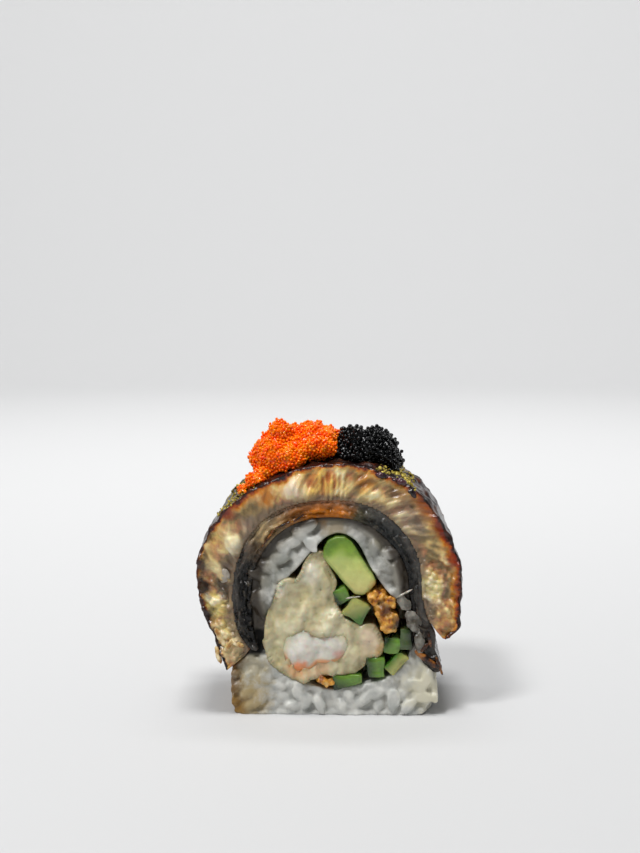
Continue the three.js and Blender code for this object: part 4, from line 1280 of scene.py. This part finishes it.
# %% Model the two heaps
def roe_heap(node, colour, egg_size, spacing, seed):
    core = clay_from(node, f"{colour}_roe_core", 0.4, smoothing=3)
    points = points_of(core)
    crags = 0.9 * lumps(points, 3.6, seed=seed) + 0.5 * lumps(points, 1.7, seed=seed + 1)
    carve(core, crags - 0.55 * egg_size)
    egg = model_egg("egg", egg_size)
    eggs = scatter(
        f"{colour}_roe_eggs", core, egg, spacing, seed, depth=(-0.15, 0.45 * egg_size), sizes=(0.85, 1.1)
    )
    bpy.data.objects.remove(egg)
    carve(core, np.full(len(points), -0.1 * egg_size))
    return core, eggs


orange_core, orange_eggs = roe_heap("orange_roe", "orange", egg_size=0.64, spacing=0.52, seed=31)
black_core, black_eggs = roe_heap("black_roe", "black", egg_size=0.9, spacing=0.76, seed=41)

# %% [markdown]
# ## Roe: the finishes
# Flying-fish roe dyed orange, and roe dyed black with squid ink. Each egg is a clear skin round a drop of
# liquid, so it holds one small glint. The orange eggs glow where light goes through them and turn red-orange
# where they crowd together. The black ones show only their glints.

# %% Dyed flying-fish roe
orange_finish, tree = new_material("Orange flying-fish roe")
place = add(tree, "TexCoord").outputs["Object"]
tints = add(tree, "TexNoise", {"Vector": place, "Scale": per_mm(1.5), "Detail": 3.0})
orange = add(
    tree, "ValToRGB", {"Fac": tints.outputs["Fac"]},
    stops=[(0.3, "#FF4C00"), (0.45, "#FF6800"), (0.6, "#FF8200"), (0.75, "#FFA020")],
)
orange_surface = add(
    tree, "BsdfPrincipled",
    {
        "Base Color": orange.outputs["Color"], "Roughness": 0.2, "IOR": 1.33, "Subsurface Weight": 0.6,
        "Subsurface Scale": 0.7 * MM, "Subsurface Radius": (1.0, 0.4, 0.05), "Coat Weight": 0.15,
        "Coat Roughness": 0.05,
    },
)
add(tree, "OutputMaterial", {"Surface": orange_surface.outputs["BSDF"]})
coat_with(orange_core, orange_finish)
coat_with(orange_eggs, orange_finish)

black_finish, tree = new_material("Squid-ink flying-fish roe")
place = add(tree, "TexCoord").outputs["Object"]
tints = add(tree, "TexNoise", {"Vector": place, "Scale": per_mm(1.2), "Detail": 2.0})
ink = add(
    tree, "ValToRGB", {"Fac": tints.outputs["Fac"]},
    stops=[(0.35, "#030303"), (0.6, "#060607"), (0.8, "#0C0C0E")],
)
black_surface = add(
    tree, "BsdfPrincipled",
    {
        "Base Color": ink.outputs["Color"], "Roughness": 0.1, "IOR": 1.3, "Coat Weight": 0.3,
        "Coat IOR": 1.45, "Coat Roughness": 0.04,
    },
)
add(tree, "OutputMaterial", {"Surface": black_surface.outputs["BSDF"]})
coat_with(black_core, black_finish)
coat_with(black_eggs, black_finish)

# %% [markdown]
# ## Torn bits
# A knife tears small things loose at a cut: flakes of eel, scraps soaked in sauce, films of skin, blisters of
# char, and a grain of rice. Each starts as a ball, is drawn out and flattened against the cut and turned, and
# all of one kind are joined and carved. Both cuts get the same bits.

# %% Model torn bits of one kind
def torn_bits(name, spots, seed, thickness=1.3, roughness=0.12):
    """Each spot is x, z, width and height in mm, and the degrees by which its right end is lifted."""
    bits = []
    for side in (-1, 1):
        for x, z, width, height, tilt in spots:
            bpy.ops.object.select_all(action="DESELECT")
            bpy.ops.mesh.primitive_ico_sphere_add(subdivisions=4, radius=0.5 * MM)
            bit = bpy.context.object
            bpy.ops.object.mode_set(mode="EDIT")
            bpy.ops.mesh.select_all(action="SELECT")
            bpy.ops.transform.resize(value=(width, thickness, height))
            bpy.ops.transform.rotate(value=math.radians(tilt), orient_axis="Y", center_override=(0, 0, 0))
            bpy.ops.transform.translate(value=(x * MM, side * (HALF_DEPTH + 0.05) * MM, z * MM))
            bpy.ops.object.mode_set(mode="OBJECT")
            bits.append(bit)
    for bit in bits:
        bit.select_set(True)
    bpy.ops.object.join()
    piece = named(bpy.context.object, name)
    bpy.ops.object.shade_smooth()
    points = points_of(piece)
    carve(piece, roughness * (lumps(points, 1.1, seed=seed) + 0.5 * lumps(points, 0.5, seed=seed + 1)))
    return piece


char_blisters = torn_bits(
    "char_blisters",
    [(9.6, 45.9, 2.6, 1.1, -15), (13.2, 44.8, 2.2, 1.3, -30), (15.3, 42.6, 2.6, 1.3, -45), (12.0, 45.2, 1.2, 0.8, 0)],
    seed=60, thickness=1.6, roughness=0.12,
)
eel_flakes = torn_bits(
    "eel_flakes",
    [
        (-20.6, 15.0, 1.2, 4.2, 25), (-21.0, 11.6, 1.0, 3.6, 15), (-19.0, 13.6, 1.0, 3.0, -35),
        (-17.6, 13.9, 3.0, 0.9, -25),
    ],
    seed=62, thickness=1.0,
)
sauced_scraps = torn_bits(
    "sauced_scraps",
    [
        (18.7, 14.8, 0.8, 3.2, 10), (17.7, 13.2, 2.6, 0.9, 50), (18.2, 11.0, 5.6, 1.3, -38), (20.6, 9.8, 0.7, 3.8, 20),
        (-11.7, 33.8, 4.4, 0.45, 55), (-8.7, 36.6, 3.6, 0.45, 25), (-5.9, 37.8, 2.8, 0.45, 35),
    ],
    seed=64, thickness=0.8, roughness=0.08,
)
skin_films = torn_bits(
    "skin_films",
    [(13.9, 21.9, 2.2, 3.6, 40), (15.7, 18.2, 2.6, 4.8, 26), (16.9, 14.2, 2.0, 4.2, 8)],
    seed=66, thickness=0.8, roughness=0.22,
)
pale_strings = torn_bits(
    "pale_strings", [(13.9, 23.6, 3.6, 0.4, 28), (4.2, 22.8, 3.2, 0.3, 8)], seed=68, thickness=0.5, roughness=0.05
)
loose_grain = torn_bits("loose_grain", [(-19.8, 26.8, 2.0, 2.8, -12)], seed=70, thickness=0.9, roughness=0.14)

for material_name, bits, colours, roughness in [
    ("Charred lacquer", char_blisters, ("#120A0E", "#2A161C", "#57323A"), 0.2),
    ("Torn eel flesh", eel_flakes, ("#A07038", "#D2B47A", "#EEDFB6"), 0.35),
    ("Scraps soaked in sauce", sauced_scraps, ("#1C0E08", "#4E2A14", "#A0662A"), 0.25),
    ("Films of fish skin", skin_films, ("#4A443A", "#68635A", "#8A867C"), 0.2),
    ("Strings of starch", pale_strings, ("#7E7A68", "#A6A292", "#C8C4B6"), 0.25),
]:
    finish, tree = new_material(material_name)
    place = add(tree, "TexCoord").outputs["Object"]
    speckle = add(tree, "TexNoise", {"Vector": place, "Scale": per_mm(1.6), "Detail": 4.0})
    tint = add(
        tree, "ValToRGB", {"Fac": speckle.outputs["Fac"]},
        stops=list(zip((0.38, 0.5, 0.64), colours)),
    )
    pitted = add(tree, "Bump", {"Height": speckle.outputs["Fac"], "Strength": 0.4, "Distance": 0.2 * MM})
    surface = add(
        tree, "BsdfPrincipled",
        {
            "Base Color": tint.outputs["Color"], "Roughness": roughness, "IOR": 1.4,
            "Normal": pitted.outputs["Normal"], "Subsurface Weight": 0.15, "Subsurface Scale": 0.6 * MM,
            "Coat Weight": 0.3, "Coat Roughness": 0.1,
        },
    )
    add(tree, "OutputMaterial", {"Surface": surface.outputs["BSDF"]})
    coat_with(bits, finish)
coat_with(loose_grain, rice_finish)

# %% [markdown]
# ## Seasoning
# Dry yellow-green crumbs lie in drifts on the right of the crown and on the dark outside at the upper left,
# thickest at the front edge. A crumb is a flattened ball of few faces, roughened, and the same scattering lays it on the crust.

# %% Model and scatter the crumbs
bpy.ops.object.select_all(action="DESELECT")
bpy.ops.mesh.primitive_ico_sphere_add(subdivisions=2, radius=0.5 * MM)
crumb = named(bpy.context.object, "crumb")
bpy.ops.object.mode_set(mode="EDIT")
bpy.ops.mesh.select_all(action="SELECT")
bpy.ops.transform.resize(value=(0.46, 0.34, 0.28))
bpy.ops.object.mode_set(mode="OBJECT")
carve(crumb, 0.06 * lumps(points_of(crumb), 0.2, seed=72))

points, normals = points_of(eel), normals_of(eel)
angles = arch_angles(points)
drifts = step(lumps(points, 4.5, seed=74), -0.15, 0.35)
near_front = step(points[:, 1], -6.5, -9.5) * step(lumps(points, 1.8, seed=75), -0.5, 0.3)
on_crust = (np.hypot(points[:, 0], points[:, 2] - ARCH_CENTRE) > 22) * (np.abs(normals[:, 1]) < 0.5)
sprinkled = step(angles, 19, 24) * step(angles, 42, 36) * np.maximum(near_front, drifts)
trickled = step(angles, -58, -54) * step(angles, -34, -38) * np.maximum(0.8 * near_front, 0.7 * drifts)
store(eel, "seasoned", np.maximum(sprinkled, trickled) * on_crust)
seasoning = scatter(
    "seasoning", eel, crumb, spacing=0.45, seed=73, depth=(-0.1, 0.3), sizes=(0.5, 1.6), lean=0.8, where="seasoned"
)
bpy.data.objects.remove(crumb)

seasoning_finish, tree = new_material("Dry yellow-green seasoning")
place = add(tree, "TexCoord").outputs["Object"]
tints = add(tree, "TexNoise", {"Vector": place, "Scale": per_mm(1.0), "Detail": 3.0})
tint = add(
    tree, "ValToRGB", {"Fac": tints.outputs["Fac"]},
    stops=[(0.35, "#54480E"), (0.5, "#A08C24"), (0.65, "#D8C458")],
)
crumbly = add(tree, "Bump", {"Height": tints.outputs["Fac"], "Strength": 0.3, "Distance": 0.1 * MM})
seasoning_surface = add(
    tree, "BsdfPrincipled",
    {"Base Color": tint.outputs["Color"], "Roughness": 0.55, "Normal": crumbly.outputs["Normal"]},
)
add(tree, "OutputMaterial", {"Surface": seasoning_surface.outputs["BSDF"]})
coat_with(seasoning, seasoning_finish)

# %% [markdown]
# ## Pieces on the body
# Every piece rides on the one body, and the plain pieces that it stands for are hidden. The copies that were
# only scattered from are removed.

# %% Hang each piece on the body, and hide the plain pieces that it stands for
for piece, slot, nodes in [
    (eel, "grilled_eel", ["eel"]),
    (skin_layer, "eel_skin", ["eel_skin"]),
    (rice, "rice", ["rice"]),
    (nori, "nori", ["nori"]),
    (batter, "batter", ["batter"]),
    (prawn, "prawn", ["prawn"]),
    (avocado, "avocado", ["avocado"]),
    *[(stick, "cucumber", [f"cucumber_{i + 1}"]) for i, stick in enumerate(cucumbers)],
    (crisps[0], "fried_crumb", ["crisp_nuggets"]),
    (crisps[1], "fried_crumb", ["crisp_scrap"]),
    (orange_core, "orange_roe", ["orange_roe"]),
    (orange_eggs, "orange_roe", ["orange_roe"]),
    (black_core, "black_roe", ["black_roe"]),
    (black_eggs, "black_roe", ["black_roe"]),
]:
    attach(piece, "root")
    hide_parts(*nodes)

for piece, slot in [
    (char_blisters, "grilled_eel"), (eel_flakes, "grilled_eel"), (sauced_scraps, "grilled_eel"),
    (seasoning, "grilled_eel"), (skin_films, "eel_skin"), (pale_strings, "batter"), (loose_grain, "rice"),
]:
    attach(piece, "root")

bpy.data.objects.remove(grain_of_rice)
